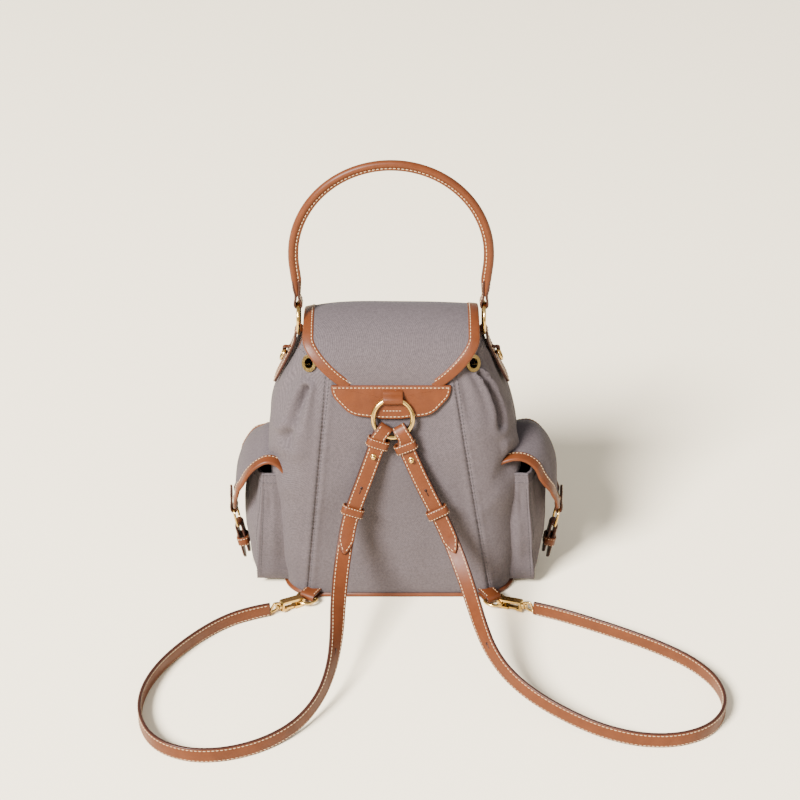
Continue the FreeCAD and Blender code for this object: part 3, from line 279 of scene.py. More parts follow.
def sweep(name, places, across, up, sections, materials, body, closed=False, choice=None, **facts):
    """A tube along a path: each section is drawn in the across and up directions of its place.

    choice gives each side of the section its material index."""
    rows = len(places)
    if np.ndim(sections) == 2:
        sections = repeat(sections, rows)
    points = places[:, None] + across[:, None] * sections[:, :, :1] + up[:, None] * sections[:, :, 1:]
    columns = points.shape[1]
    faces = [f[::-1] for f in grid_faces(rows, columns, True, closed)]
    picked = None if choice is None else list(choice) * (len(faces) // columns)
    if not closed:
        faces.append(tuple(range(columns)))
        faces.append(tuple(range((rows - 1) * columns, rows * columns))[::-1])
        picked = picked and picked + [choice[0]] * 2
    return make(name, points.reshape(-1, 3), faces, materials, body, choice=picked, **facts)


def along(points, closed=False):
    """Directions along a polyline."""
    points = np.asarray(points, float)
    if closed:
        return unit(np.roll(points, -1, 0) - np.roll(points, 1, 0))
    return unit(np.gradient(points, axis=0))


def sample(spots, far, values):
    """Rows of values read off at spots between the places where they are known."""
    return np.stack([np.interp(spots, far, column) for column in np.asarray(values, float).T], -1)


def resample(points, step, *others):
    """The polyline at even steps, with other values carried along."""
    points = np.asarray(points, float)
    far = distances(points)
    count = max(2, int(round(far[-1] / step)) + 1)
    spots = np.linspace(0, far[-1], count)
    found = [sample(spots, far, values) for values in (points,) + others]
    return found if others else found[0]


# a stitch: the points round its thread, and its lift and width at five places along it, in thread radii
STITCH_RING = 6
STITCH_LIFTS = (-0.25, 0.55, 0.8, 0.55, -0.25)
STITCH_WIDTHS = (0.55, 0.95, 1.0, 0.95, 0.55)


def stitches(name, rows, material, body, length=2.6 * MM, gap=1.1 * MM, radius=0.33 * MM, slot="leather"):
    """Rows of short arched stitches. A row is (points, outward normals)."""
    points, faces = [], []
    turns = 2 * np.pi * np.arange(STITCH_RING) / STITCH_RING
    for line, normals in rows:
        line, normals = resample(line, (length + gap) / 8, normals)
        normals = unit(normals)
        forward = along(line)
        for first in range(0, 8 * ((len(line) - 1) // 8), 8):
            base = len(points)
            for m, spot in enumerate(np.linspace(first, first + 8 * length / (length + gap), 5)):
                low = int(spot)
                share = spot - low
                high = min(low + 1, len(line) - 1)
                at = line[low] * (1 - share) + line[high] * share
                n = unit(normals[low] * (1 - share) + normals[high] * share)
                side = unit(np.cross(forward[low], n))
                wide = STITCH_WIDTHS[m] * radius
                middle = at + n * STITCH_LIFTS[m] * radius
                points += [middle + side * (wide * math.cos(a)) + n * (wide * 0.8 * math.sin(a))
                           for a in turns]
            faces += [tuple(base + v for v in face) for face in grid_faces(5, STITCH_RING, True)]
            faces.append(tuple(base + j for j in range(STITCH_RING))[::-1])
            faces.append(tuple(base + 4 * STITCH_RING + j for j in range(STITCH_RING)))
    return make(name, points, faces, material, body, slot=slot)


def hermite(spots, knots, values):
    """A smooth curve through values at knots, with Catmull-Rom slopes."""
    knots = np.asarray(knots, float)
    values = np.asarray(values, float)
    slopes = np.gradient(values, knots, axis=0)
    spots = np.clip(np.asarray(spots, float), knots[0], knots[-1])
    index = np.clip(np.searchsorted(knots, spots) - 1, 0, len(knots) - 2)
    width = knots[index + 1] - knots[index]
    t = ((spots - knots[index]) / width)
    extra = (slice(None),) + (None,) * (values.ndim - 1)
    t, width = t[extra], width[extra]
    a, b = values[index], values[index + 1]
    return ((2 * t ** 3 - 3 * t ** 2 + 1) * a + (t ** 3 - 2 * t ** 2 + t) * width * slopes[index]
            + (3 * t ** 2 - 2 * t ** 3) * b + (t ** 3 - t ** 2) * width * slopes[index + 1])


def bend(points, step=None):
    """A smooth line through given points."""
    points = np.asarray(points, float)
    far = distances(points)
    line = hermite(np.linspace(0, far[-1], 40 * len(points)), far, points)
    return line if step is None else resample(line, step)


# ---------------------------------------------------------------- body of the bag

# height, half width, half depth, corner radius, lean of the bag's soft body
BODY_LEVELS = np.array([
    (3.0, 110.0, 61.0, 32.0, 7.0), (45.0, 114.5, 63.5, 37.0, 5.95), (100.0, 117.0, 65.0, 42.0, 3.85),
    (150.0, 117.5, 64.0, 44.0, 1.75), (190.0, 111.0, 59.0, 44.0, 0.0), (216.0, 101.0, 53.0, 42.0, 0.0),
    (238.0, 89.0, 46.0, 38.0, 0.0), (256.0, 81.0, 39.0, 34.0, 0.0),
]) * MM
BODY_FOOT, BODY_TOP = 0.003, 0.256
# columns of the back, right, front and left panels of the body's grid, and the seam where each starts
PANELS = (88, 66, 88, 66)
COLUMNS = sum(PANELS)
SEAMS = [sum(PANELS[:n]) for n in range(len(PANELS))]


def seam_x(side, height):
    """Where the slanted seam of the back and front panels runs at a height."""
    foot, top = (-0.081, -0.055) if side < 0 else (0.095, 0.053)
    return foot + (top - foot) * height / 0.262


def rounded_loop(half_width, half_depth, corner, steps=120):
    """A fine rounded rectangle that starts in the middle of the back and runs to +X, and its distances."""
    start = [(0.0, -half_depth)]
    loop = np.concatenate([start, rounded(2 * half_width, 2 * half_depth, corner, steps - 1), start])
    return loop, distances(loop)


def body_row(height):
    """One level of the body: evenly spaced points of each panel, closer together by the seams."""
    half_width, half_depth, corner, lean = hermite([height], BODY_LEVELS[:, 0], BODY_LEVELS[:, 1:])[0]
    loop, far = rounded_loop(half_width, half_depth, corner)
    quarter = len(loop) // 4
    total = far[-1]

    def crossing(x, first, last, rising):
        span = slice(first, last)
        xs, ss = loop[span, 0], far[span]
        return float(np.interp(x, xs, ss) if rising else np.interp(-x, -xs, ss))

    left, right = seam_x(-1, height) - lean, seam_x(1, height) - lean
    start = crossing(left, 3 * quarter, len(loop), True) - total
    cuts = [start, crossing(right, 0, quarter + 1, True), crossing(right, quarter, 2 * quarter + 2, False),
            crossing(left, 2 * quarter, 3 * quarter + 2, False), start + total]
    spots = []
    for count, a, b in zip(PANELS, cuts, cuts[1:]):
        t = np.arange(count) / count
        t = t - 0.62 * np.sin(2 * np.pi * t) / (2 * np.pi)
        spots.append(a + (b - a) * t)
    spots = np.concatenate(spots) % total
    return np.column_stack([sample(spots, far, loop) + (lean, 0), np.full(COLUMNS, height)])


def surface_normals(points, around=True):
    """Outward normals of a grid whose columns run anticlockwise and whose rows go up."""
    if around:
        across = np.roll(points, -1, 1) - np.roll(points, 1, 1)
    else:
        across = np.gradient(points, axis=1)
    return unit(np.cross(across, np.gradient(points, axis=0)))


def line_distance(points, line):
    """Distance from each point to a polyline, and how far along it the nearest place is, 0 to 1."""
    line = np.asarray(line, float)
    best = np.full(points.shape[:-1], 1e9)
    share = np.zeros(points.shape[:-1])
    for n, (a, b) in enumerate(zip(line, line[1:])):
        run = b - a
        t = np.clip(((points - a) @ run) / (run @ run), 0, 1)
        gap = np.linalg.norm(points - (a + t[..., None] * run), axis=-1)
        closer = gap < best
        best = np.where(closer, gap, best)
        share = np.where(closer, (n + t) / (len(line) - 1), share)
    return best, share


def soft_noise(points, scale, seed):
    flat = points.reshape(-1, 3) * scale + seed
    return np.array([noise.noise(Vector(p)) for p in flat]).reshape(points.shape[:-1])


LEVEL_COUNT = 132
heights = BODY_FOOT + (BODY_TOP - BODY_FOOT) * np.linspace(0, 1, LEVEL_COUNT)
body_rest = np.stack([body_row(h) for h in heights])
body_out = surface_normals(body_rest)

# folds of the cloth: a line on the surface in mm, its depth and its width
FOLDS = (
    (((79, -36, 234), (84, -36, 228), (90, -38, 217), (96, -40, 205), (99, -42, 195), (100, -45, 185)),
     15.0, 2.6),
    (((84, -20, 246), (95, -20, 226), (104, -22, 200)), 3.5, 5.0),
    (((62, -47, 240), (67, -53, 222), (71, -57, 200)), 2.6, 4.0),
    (((-77, -45, 223), (-83, -49, 208), (-89, -53, 189), (-92, -54, 174)), 8.5, 4.0),
    (((-94, -52, 178), (-97, -51, 172), (-101, -50, 167)), 5.0, 6.5),
    (((-84, -34, 246), (-95, -34, 222), (-102, -36, 204)), 3.0, 5.5),
    (((-60, -47, 240), (-63, -53, 224), (-66, -57, 206)), 2.0, 4.0),
    (((-107, -48, 148), (-99, -54, 144), (-90, -60, 148)), 3.2, 10.0),
    (((110, -46, 146), (103, -52, 142), (94, -58, 146)), 6.0, 13.0),
    (((70, 48, 246), (80, 50, 222), (88, 52, 190)), 4.0, 4.5),
    (((-70, 48, 246), (-80, 50, 222), (-88, 52, 190)), 4.0, 4.5),
    (((-28, 44, 250), (-30, 50, 226), (-34, 58, 196)), 3.0, 5.0),
    (((22, 44, 250), (26, 50, 226), (30, 58, 190)), 3.2, 5.0),
    (((88, 0, 250), (100, -4, 224), (108, -6, 200)), 3.4, 5.0),
    (((-88, 4, 250), (-100, 6, 224), (-108, 6, 200)), 3.4, 5.0),
)


def eyelet_places():
    """The middle and the axis of every eyelet, read from its solid."""
    found = []
    for node in sorted(NODES):
        if node.startswith("eyelet_"):
            points = np.array([NODES[node].matrix_world @ v.co for v in NODES[node].data.vertices])
            middle = (points.min(axis=0) + points.max(axis=0)) / 2
            sizes, axes = np.linalg.svd(points - middle, full_matrices=False)[1:]
            found.append((middle, axes[2] if sizes[0] - sizes[1] < sizes[1] - sizes[2] else axes[0]))
    return found


EYELETS = eyelet_places()


def displaced_body():
    """The body with its belly, gathers, folds and sewn seams pushed in and out."""
    p = body_rest
    x, y, z = p[..., 0], p[..., 1], p[..., 2]
    push = 1.6 * MM * soft_noise(p, 14.0, 3.1) + 0.7 * MM * soft_noise(p, 42.0, 11.7)
    flat_back = np.exp(-((np.abs(x) / 0.06) ** 4)) * (y < 0)
    gather = np.clip((z - 0.196) / 0.06, 0, 1) ** 1.4 * (1 - flat_back)
    turn = np.arctan2(y, x)
    ripple = (np.sin(23 * turn + 0.7) + 0.6 * np.sin(37 * turn + 2.1 + 9 * z) + 0.5 * np.sin(14 * turn + 4.0))
    push += 1.15 * MM * gather * ripple
    for line, depth, width in FOLDS:
        gap, share = line_distance(p, np.array(line) * MM)
        fade = np.clip(1.15 - share, 0, 1) ** 0.7
        w = width * MM * (0.7 + 0.9 * share)
        push -= depth * MM * fade * np.exp(-((gap / w) ** 2))
        push += 0.42 * depth * MM * fade * np.exp(-(((gap - 2.1 * w) / w) ** 2))
    for seam in SEAMS:
        gap = np.linalg.norm(p - p[:, seam][:, None], axis=-1)
        pucker = np.sin(2 * np.pi * z / 0.0085 + 3 * np.sin(z * 90)) * np.exp(-((gap / 0.007) ** 2))
        push += 0.28 * MM * pucker
        push -= 1.35 * MM * np.exp(-((gap / 0.0013) ** 2))
        push += 0.65 * MM * np.exp(-(((gap - 0.0042) / 0.0026) ** 2))
    foot = np.exp(-((z - BODY_FOOT) / 0.006))
    push = push * (1 - 0.75 * foot) - 1.5 * MM * foot
    rest_patch = np.exp(-(((np.abs(x)) / 0.058) ** 6)) * (y < 0) * np.clip((z - 0.19) / 0.012, 0, 1)
    push = push * (1 - 0.85 * rest_patch)
    for middle, _ in EYELETS:
        push = push * (1 - np.exp(-((np.linalg.norm(p - middle, axis=-1) / (12 * MM)) ** 4)))
    return p + body_out * push[..., None]


body_grid = displaced_body()
body_normals = surface_normals(body_grid)


def open_eyelets(outer, faces, columns):
    """Cut a hole through both sides of a sheet at every eyelet and close its edge."""
    levels = len(outer)
    middles = (outer[:-1] + outer[1:]) / 2
    middles = (middles + np.roll(middles, -1, axis=1)) / 2
    gone = set()
    for middle, axis in EYELETS:
        away = middles - middle
        depth = away @ axis
        aside = np.linalg.norm(away - depth[..., None] * axis, axis=-1)
        gone.update(zip(*np.nonzero((aside < 6.2 * MM) & (np.abs(depth) < 14 * MM))))
    walls = []
    for r, c in sorted(gone):
        d = (c + 1) % columns
        sides = (((r, c), (r, d), (r - 1, c)), ((r, d), (r + 1, d), (r, d)),
                 ((r + 1, d), (r + 1, c), (r + 1, c)), ((r + 1, c), (r, c), (r, (c - 1) % columns)))
        for first, second, beyond in sides:
            if beyond not in gone:
                edge = [first[0] * columns + first[1], second[0] * columns + second[1]]
                back = [(2 * levels + 1 - q[0]) * columns + q[1] for q in (second, first)]
                walls.append(tuple(edge + back))
    dropped = {r * columns + c for r, c in gone} | {(2 * levels - r) * columns + c for r, c in gone}
    return [face for n, face in enumerate(faces) if n not in dropped] + walls


def shell(name, outer, thickness, material, body, low_cap=False, **facts):
    """A closed sheet: the outer grid, a rounded top edge and the same grid moved inward."""
    normals = surface_normals(outer)
    inner = outer - normals * thickness
    inner[..., 2] = outer[..., 2]
    edge_out = outer[-1] + np.array([0, 0, 0.45 * thickness])
    edge_in = inner[-1] + np.array([0, 0, 0.45 * thickness])
    rows = np.concatenate([outer, edge_out[None] - normals[-1] * 0.15 * thickness,
                           edge_in[None] + normals[-1] * 0.15 * thickness, inner[::-1]])
    columns = rows.shape[1]
    faces = grid_faces(len(rows), columns, True, not low_cap)
    faces = open_eyelets(outer, faces, columns)
    if low_cap:
        faces.append(tuple(range(columns))[::-1])
        faces.append(tuple(range((len(rows) - 1) * columns, len(rows) * columns)))
    return make(name, rows.reshape(-1, 3), faces, material, body, **facts)


shell("bag_body", body_grid, 1.8 * MM, canvas, "bag", slot="canvas",
      replaces=("back_panel", "front_panel", "left_gusset", "right_gusset"))
lining_grid = body_grid[3:] - body_out[3:] * 2.4 * MM
lining_grid[..., 2] = body_grid[3:, :, 2]
lining_grid[-1, :, 2] -= 1.0 * MM
shell("bag_lining", lining_grid, 0.8 * MM, canvas_in, "bag", low_cap=True, slot="lining_cloth",
      replaces=("lining",))


def body_line(seam, offset):
    """A line that runs beside a seam of the body, with its normals."""
    grid, normals = body_grid[2:-2], body_normals[2:-2]
    line = grid[:, seam]
    probe = line + unit(np.cross(along(line), normals[:, seam])) * offset
    nearest = np.linalg.norm(grid - probe[:, None], axis=-1).argmin(axis=1)
    rows = np.arange(len(line))
    n = normals[rows, nearest]
    probe = probe + n * np.sum((grid[rows, nearest] - probe) * n, axis=-1, keepdims=True)
    return probe + n * 0.1 * MM, n


FINE_STITCH = (2.0 * MM, 0.9 * MM, 0.3 * MM)
SLATE_STITCH = (2.5 * MM, 1.3 * MM, 0.3 * MM, "canvas")
seam_rows = [body_line(seam, offset) for seam in SEAMS for offset in (-2.3 * MM, 2.3 * MM)]
stitches("seam_stitches", seam_rows, slate, "bag", *SLATE_STITCH)


def hem_line(height):
    """A level of the body as a closed line, with its normals."""
    index = int((height - BODY_FOOT) / (BODY_TOP - BODY_FOOT) * (LEVEL_COUNT - 1))
    ring, normals = (np.concatenate([grid[index], grid[index, :1]]) for grid in (body_grid, body_normals))
    return ring + normals * 0.05 * MM, normals


stitches("mouth_stitches", [hem_line(0.2525), hem_line(0.2495)], slate, "bag", *SLATE_STITCH)

# ---------------------------------------------------------------- shoulder straps

STRAP_WIDE, STRAP_THICK, TONGUE_THICK = 15.0 * MM, 3.0 * MM, 2.6 * MM
STITCH_INSET = 1.9 * MM
LIFT = (STRAP_THICK + TONGUE_THICK) / 2 + 0.1 * MM
SLOPE = math.radians(16.0)
PATCH_TOP = np.array([0.0, -50.9, 228.9]) * MM
SLOPE_DOWN = np.array([0.0, -math.sin(SLOPE), -math.cos(SLOPE)])
SLOPE_OUT = np.array([0.0, -math.cos(SLOPE), math.sin(SLOPE)])
RING_CENTRE = PATCH_TOP + np.array([1.6, 0, 0]) * MM + SLOPE_DOWN * 28.8 * MM + SLOPE_OUT * 5.0 * MM
RING_RADIUS, RING_WIRE = 17.9 * MM, 2.2 * MM

# points of each strap's middle line in mm, and its turn: 0 lies flat on the back, 1 stands on edge
ROUTES = {
    "left": (
        (-11.5, -66.5, 181.0, 0.0), (-19.5, -70.5, 157.0, 0.0), (-29.5, -75.5, 130.0, 0.0),
        (-38.5, -81.5, 105.0, 0.0), (-43.0, -93.0, 83.0, 0.06), (-46.5, -113.5, 65.5, 0.16),
        (-48.5, -140.0, 52.0, 0.3), (-49.0, -169.0, 39.0, 0.46), (-52.5, -200.0, 26.5, 0.64),
        (-62.5, -231.0, 16.0, 0.84), (-82.0, -260.5, 9.6, 0.97), (-110.0, -282.5, 7.8, 1.0),
        (-143.0, -295.0, 7.8, 1.0), (-176.0, -295.0, 7.8, 1.0), (-205.0, -279.5, 7.8, 1.0),
        (-220.5, -249.0, 7.8, 1.0), (-222.0, -214.0, 7.8, 1.0), (-211.0, -178.5, 7.8, 1.0),
        (-189.0, -143.5, 7.8, 1.0), (-162.0, -114.0, 7.8, 1.0), (-136.0, -98.0, 8.2, 0.9),
        (-114.6, -92.3, 9.0, 0.72),
    ),
    "right": (
        (12.5, -66.5, 177.0, 0.0), (22.5, -70.5, 153.0, 0.0), (34.5, -75.5, 127.0, 0.0),
        (47.0, -81.5, 103.0, 0.0), (57.5, -92.0, 81.0, 0.05), (66.5, -111.0, 64.0, 0.12),
        (74.0, -135.5, 52.5, 0.22), (80.5, -161.5, 43.5, 0.34), (89.0, -188.0, 35.5, 0.47),
        (103.0, -212.0, 28.0, 0.61), (124.0, -232.0, 20.5, 0.75), (150.0, -248.5, 14.2, 0.89),
        (181.0, -265.0, 9.4, 1.0), (215.0, -276.0, 7.8, 1.0), (250.0, -276.0, 7.8, 1.0),
        (280.0, -261.5, 7.8, 1.0), (296.0, -233.0, 7.8, 1.0), (293.0, -200.5, 7.8, 1.0),
        (274.5, -171.5, 7.8, 1.0), (246.0, -148.0, 7.8, 1.0), (213.0, -127.5, 7.8, 1.0),
        (180.0, -109.5, 7.8, 1.0), (153.0, -96.5, 8.2, 0.9), (134.2, -90.5, 9.0, 0.72),
    ),
}


def route_line(name, points):
    """The smooth line of a route: a NURBS spline whose control points are the route's."""
    curve = bpy.data.curves.new(name, "CURVE")
    curve.dimensions = "3D"
    curve.resolution_u = 16
    spline = curve.splines.new("NURBS")
    spline.points.add(len(points) - 1)
    for spot, (x, y, z, _) in zip(spline.points, points):
        spot.co = (x * MM, y * MM, z * MM, 1.0)
    spline.order_u = 3
    spline.use_endpoint_u = True
    holder = bpy.data.objects.new(name, curve)
    mesh = bpy.data.meshes.new_from_object(holder)
    line = np.array([v.co for v in mesh.vertices])
    bpy.data.objects.remove(holder)
    bpy.data.meshes.remove(mesh)
    count = len(points)
    knots = np.concatenate([[0], (np.arange(count - 2) + 0.5) / (count - 2), [1]])
    turns = np.interp(np.linspace(0, 1, len(line)), knots, [p[3] for p in points])
    return resample(line, 1.6 * MM, turns[:, None])


def strap_frames(line, turns, side):
    """The strap's direction, its outward face and its width direction along its line."""
    heading = along(line)
    flat = square(repeat((0, -1, 0.15), len(line)), heading)
    edge = square(np.column_stack([heading[:, 1], -heading[:, 0], np.zeros(len(line))]) * side, heading)
    face = square(unit(flat * (1 - turns) + edge * turns), heading)
    return heading, face, np.cross(heading, face)


# the sides of a ribbon's section that have the painted edge
EDGE_CHOICE = [0] + [1] * 7 + [0] * 3 + [1] * 7 + [0] * 2


def ribbon_sections(wide, thick, halves):
    """The sections of a leather strip whose width follows halves, shares of its full width."""
    return rounded(wide, thick, 0.36 * thick) * np.stack([halves, np.ones(len(halves))], 1)[:, None, :]


def edge_rows(places, across, up, half, thick, inset, both=True):
    """Two stitch lines near the edges of a strap's outer face, and of its inner face if asked."""
    return [(places + across * (half - inset) * sign + up * (thick / 2 * face_sign), up * face_sign)
            for face_sign in ((1, -1) if both else (1,)) for sign in (-1, 1)]


def band(name, centre, heading, across, up, wide, tall, length, thick, body, **facts):
    """A keeper: a stitched leather loop round a strap, a little fuller in the middle."""
    path = rounded(wide, tall, min(wide, tall) * 0.36, 6)
    places = centre + across * path[:, :1] + up * path[:, 1:]
    outward = facing(unit(np.cross(heading, along(places, True))), places - places.mean(0))
    section = rounded(length, thick, thick * 0.42, 3)
    section[:, 1] += 0.5 * MM * (1 - (section[:, 0] / (length / 2)) ** 2) * (section[:, 1] > 0)
    loop = sweep(name, places, repeat(heading, len(places)), outward, section, leather, body,
                 closed=True, **facts)
    rows = []
    for sign in (-1, 1):
        line = places + outward * (thick / 2) + heading * (sign * (length / 2 - 1.1 * MM))
        rows.append((np.concatenate([line, line[:1]]), np.concatenate([outward, outward[:1]])))
    thread = stitches(name + "_thread", rows, cream, body, 1.9 * MM, 0.8 * MM, 0.3 * MM, "keeper_leather")
    return [loop, thread]


def stud(name, base, axis, **facts):
    """A turned brass stud: (radius, height) pairs in mm spun about an axis."""
    profile = ((2.6, -0.6), (2.6, 0.25), (2.2, 0.55), (1.25, 0.7), (1.15, 1.3), (1.7, 1.8), (2.2, 2.6),
               (2.25, 3.2), (1.9, 4.0), (1.2, 4.5), (0.4, 4.75))
    steps = 24
    side = unit(np.cross(axis, [0.31, 0.72, 0.62]))
    other = np.cross(axis, side)
    turns = 2 * np.pi * np.arange(steps) / steps
    points = [base + (axis * height + (side * math.cos(a) + other * math.sin(a)) * radius) * MM
              for radius, height in profile for a in turns]
    faces = grid_faces(len(profile), steps, True)
    faces.append(tuple(range(steps))[::-1])
    faces.append(tuple(range((len(profile) - 1) * steps, len(profile) * steps)))
    return make(name, points, faces, brass, "bag", slot="brass", **facts)


def dash(name, centre, ahead, sideways, up, length, wide):
    """A small flat rounded slot mark, a hair above the leather; its dark colour is painted shade standing in
    for a punched hole.
    """
    outline = rounded(length, wide, wide * 0.48, 5)
    low = centre + ahead * outline[:, :1] + sideways * outline[:, 1:]
    count = len(low)
    faces = grid_faces(2, count, True) + [tuple(range(count, 2 * count)), tuple(range(count))[::-1]]
    points = np.concatenate([low - up * 0.4 * MM, low + up * 0.12 * MM])
    return make(name, points, faces, leather_dark, "bag", slot="leather")


# places along a strap from its carry ring end, and where each tongue goes round the ring, in degrees
TONGUE_LENGTH = 107.0 * MM
KEEPER_AT = (2.0 * MM, 73.5 * MM)
STUD_AT = 15.0 * MM
TONGUE_HOLE_AT = 51.0 * MM
STRAP_HOLE_AT = {"left": 214.0 * MM, "right": 216.0 * MM}
RING_ANGLE = {"left": 232.0, "right": 302.0}


def tongue_path(name, at, ring_wide):
    """The tongue's line and width direction: up behind the ring, over its wire and down the strap."""
    angle = math.radians(RING_ANGLE[name])
    radial = math.cos(angle) * X_AXIS - SLOPE_DOWN * math.sin(angle)
    tangent = facing(unit(np.cross(SLOPE_OUT, radial)), ring_wide)
    wire = RING_CENTRE + radial * RING_RADIUS
    reach = RING_WIRE + 0.45 * MM + TONGUE_THICK / 2
    start, ahead, out, wide = at(0.0)
    path, sideways = [start + ahead * 3 * MM - out * 0.4 * MM], [wide]
    for turn in np.radians((-28, 0, 30, 60, 90, 120, 150, 180, 208)):
        slack = reach + (4.5 * MM if 0 < turn < 3.1 else 0.0)
        path.append(wire - SLOPE_OUT * reach * math.cos(turn) - radial * slack * math.sin(turn))
        sideways.append(unit(tangent * 0.75 + wide * 0.25))
    for distance in np.arange(5.0 * MM, TONGUE_LENGTH + 11.0 * MM, 3.0 * MM):
        place, _, out, wide = at(distance)
        path.append(place + out * LIFT)
        sideways.append(wide)
    shares = np.linspace(0, 1, len(path))
    return resample(bend(path), 1.2 * MM, sample(np.linspace(0, 1, 40 * len(path)), shares, sideways))


def shoulder_strap(side, name):
    """One strap: its ribbon, its tongue round the ring, its keepers, stud and slots."""
    line, turns = route_line(f"{name}_route", ROUTES[name])
    heading, face, wide = strap_frames(line, turns, side)
    far = distances(line)

    def at(distance):
        place, *ways = (sample(distance, far, values) for values in (line, heading, face, wide))
        return (place, *(unit(way) for way in ways))

    section = ribbon_sections(STRAP_WIDE, STRAP_THICK, np.ones(len(line)))
    strap = sweep(f"{name}_strap", line, wide, face, section,
                  [leather, leather_dark], "bag", choice=EDGE_CHOICE, slot="leather",
                  replaces=(f"{name}_shoulder_strap",))
    rows = edge_rows(line, wide, face, STRAP_WIDE / 2, STRAP_THICK, STITCH_INSET)
    pieces = [stitches(f"{name}_strap_thread", rows, cream, "bag")]

    path, sideways = tongue_path(name, at, wide[0])
    ahead = along(path)
    sideways = square(sideways, ahead)
    up = np.cross(ahead, sideways)
    up = up * np.sign(up[-1] @ face[60])
    from_end = distances(path[::-1])[::-1]
    point_length = 13.0 * MM
    halves = np.clip(np.where(from_end < point_length, (from_end / point_length) ** 0.62, 1.0), 0.06, 1)
    start_in = np.clip(1 - from_end / from_end[0], 0, 1)
    halves = halves * np.interp(start_in, (0, 0.03, 0.2, 0.26, 1), (0.86, 0.84, 0.86, 1, 1))
    section = ribbon_sections(STRAP_WIDE, TONGUE_THICK, halves)
    pieces.append(sweep(f"{name}_tongue", path, sideways, up, section,
                        [leather, leather_dark], "bag", choice=EDGE_CHOICE, slot="leather",
                        replaces=(f"{name}_strap_tongue",)))
    outer = from_end < from_end[0] - 24 * MM
    half = STRAP_WIDE / 2 * halves[outer, None]
    rows = edge_rows(path[outer], sideways[outer], up[outer], half, TONGUE_THICK,
                     np.minimum(STITCH_INSET, half * 0.8), False)
    tip = (rows[0][0][-1:] + rows[1][0][-1:]) * 0.5
    rows = [(np.concatenate([r[:-4], tip]), np.concatenate([n[:-4], n[-1:]])) for r, n in rows]
    pieces.append(stitches(f"{name}_tongue_thread", rows, cream, "bag"))

    for number, distance in enumerate(KEEPER_AT, start=1):
        centre, ahead, out, across = at(distance)
        pieces += band(f"{name}_keeper_loop_{number}", centre + out * LIFT / 2, ahead, across, out,
                       STRAP_WIDE + 3.2 * MM, STRAP_THICK + TONGUE_THICK + 3.4 * MM, 9.0 * MM, 2.0 * MM,
                       "bag", slot="keeper_leather", replaces=(f"{name}_keeper_{number}",))
    centre, _, out, _ = at(STUD_AT)
    pieces.append(stud(f"{name}_stud_head", centre + out * (LIFT + TONGUE_THICK / 2), out,
                       replaces=(f"{name}_stud",)))
    # the keyhole and spare holes are not cut: each is a dark mark painted as the shade of a hole
    slots = (("keyhole", TONGUE_HOLE_AT, LIFT + TONGUE_THICK / 2, (7.5, 1.1), 2.6, (3.0, 2.8)),
             ("spare", STRAP_HOLE_AT[name], STRAP_THICK / 2, (7.0, 1.0), 2.4, (2.7, 2.5)))
    for kind, distance, lift, slit, shift, eye in slots:
        centre, ahead, out, across = at(distance)
        top = centre + out * lift
        pieces.append(dash(f"{name}_{kind}_slit", top, ahead, across, out, *(v * MM for v in slit)))
        top = top - ahead * shift * MM
        pieces.append(dash(f"{name}_{kind}_eye", top, ahead, across, out, *(v * MM for v in eye)))
    tuple(line[0])
    [tuple(p) for p in line]


for side, name in SIDES:
    shoulder_strap(side, name)

# ---------------------------------------------------------------- top flap

FLAP_CENTRE = 229.6 * MM
FLAP_RADIUS = 51.0 * MM
FLAP_SLOPE = math.radians(14.0)
FLAP_ARC = FLAP_RADIUS * (math.pi - FLAP_SLOPE)
FLAP_FALL = (FLAP_CENTRE + FLAP_RADIUS * math.sin(FLAP_SLOPE) - 140.0 * MM) / math.cos(FLAP_SLOPE)
FLAP_LONG = FLAP_ARC + FLAP_FALL
FLAP_SHEET = 1.8 * MM


def flap_half(s):
    """Half the flap's width at a distance from its root: narrow and rounded at both ends."""
    root = np.clip(1 - s / 0.044, 0, 1.15)
    tip = np.clip((s - (FLAP_LONG - 0.03)) / 0.03, 0, 1)
    wide = 44.0 + 34.0 * (1 - root ** 1.7)
    return wide * MM - 31.0 * MM * (1 - np.sqrt(1 - tip ** 2))


def flap_surface(u, s):
    """A point of the flap's middle surface and its outward normal: u from -1 to 1 across it."""
    u, s = np.broadcast_arrays(np.asarray(u, float), np.asarray(s, float))
    turn = math.pi - np.clip(s, 0, FLAP_ARC) / FLAP_RADIUS
    tuck = np.clip(-s, 0, None)
    down = np.clip(s - FLAP_ARC, 0, None)
    crest = np.clip(np.sin(turn), 0, 1)
    drop = np.where(u < 0, 6.5, 3.6) * MM * np.abs(u) ** 4 * crest ** 2 - 0.4 * MM * crest
    ends = np.clip(s / 0.02, 0, 1)
    x = u * flap_half(s)
    wave = np.array([noise.noise(Vector((a * 22, b * 22, 1.7))) for a, b in zip(x.ravel(), s.ravel())])
    drop = drop + 0.9 * MM * wave.reshape(x.shape) * ends
    reach = FLAP_RADIUS - drop
    y = reach * np.cos(turn) + down * math.sin(FLAP_SLOPE)
    y += 2.2 * MM * (1 - u ** 2) * np.clip(down / 0.05, 0, 1)
    y = y - tuck * math.sin(SLOPE)
    z = FLAP_CENTRE + reach * np.sin(turn) - down * math.cos(FLAP_SLOPE) - tuck * math.cos(SLOPE)
    out = np.stack([np.zeros_like(x), np.cos(turn), np.sin(turn)], -1)
    return np.stack([x, y, z], -1), out


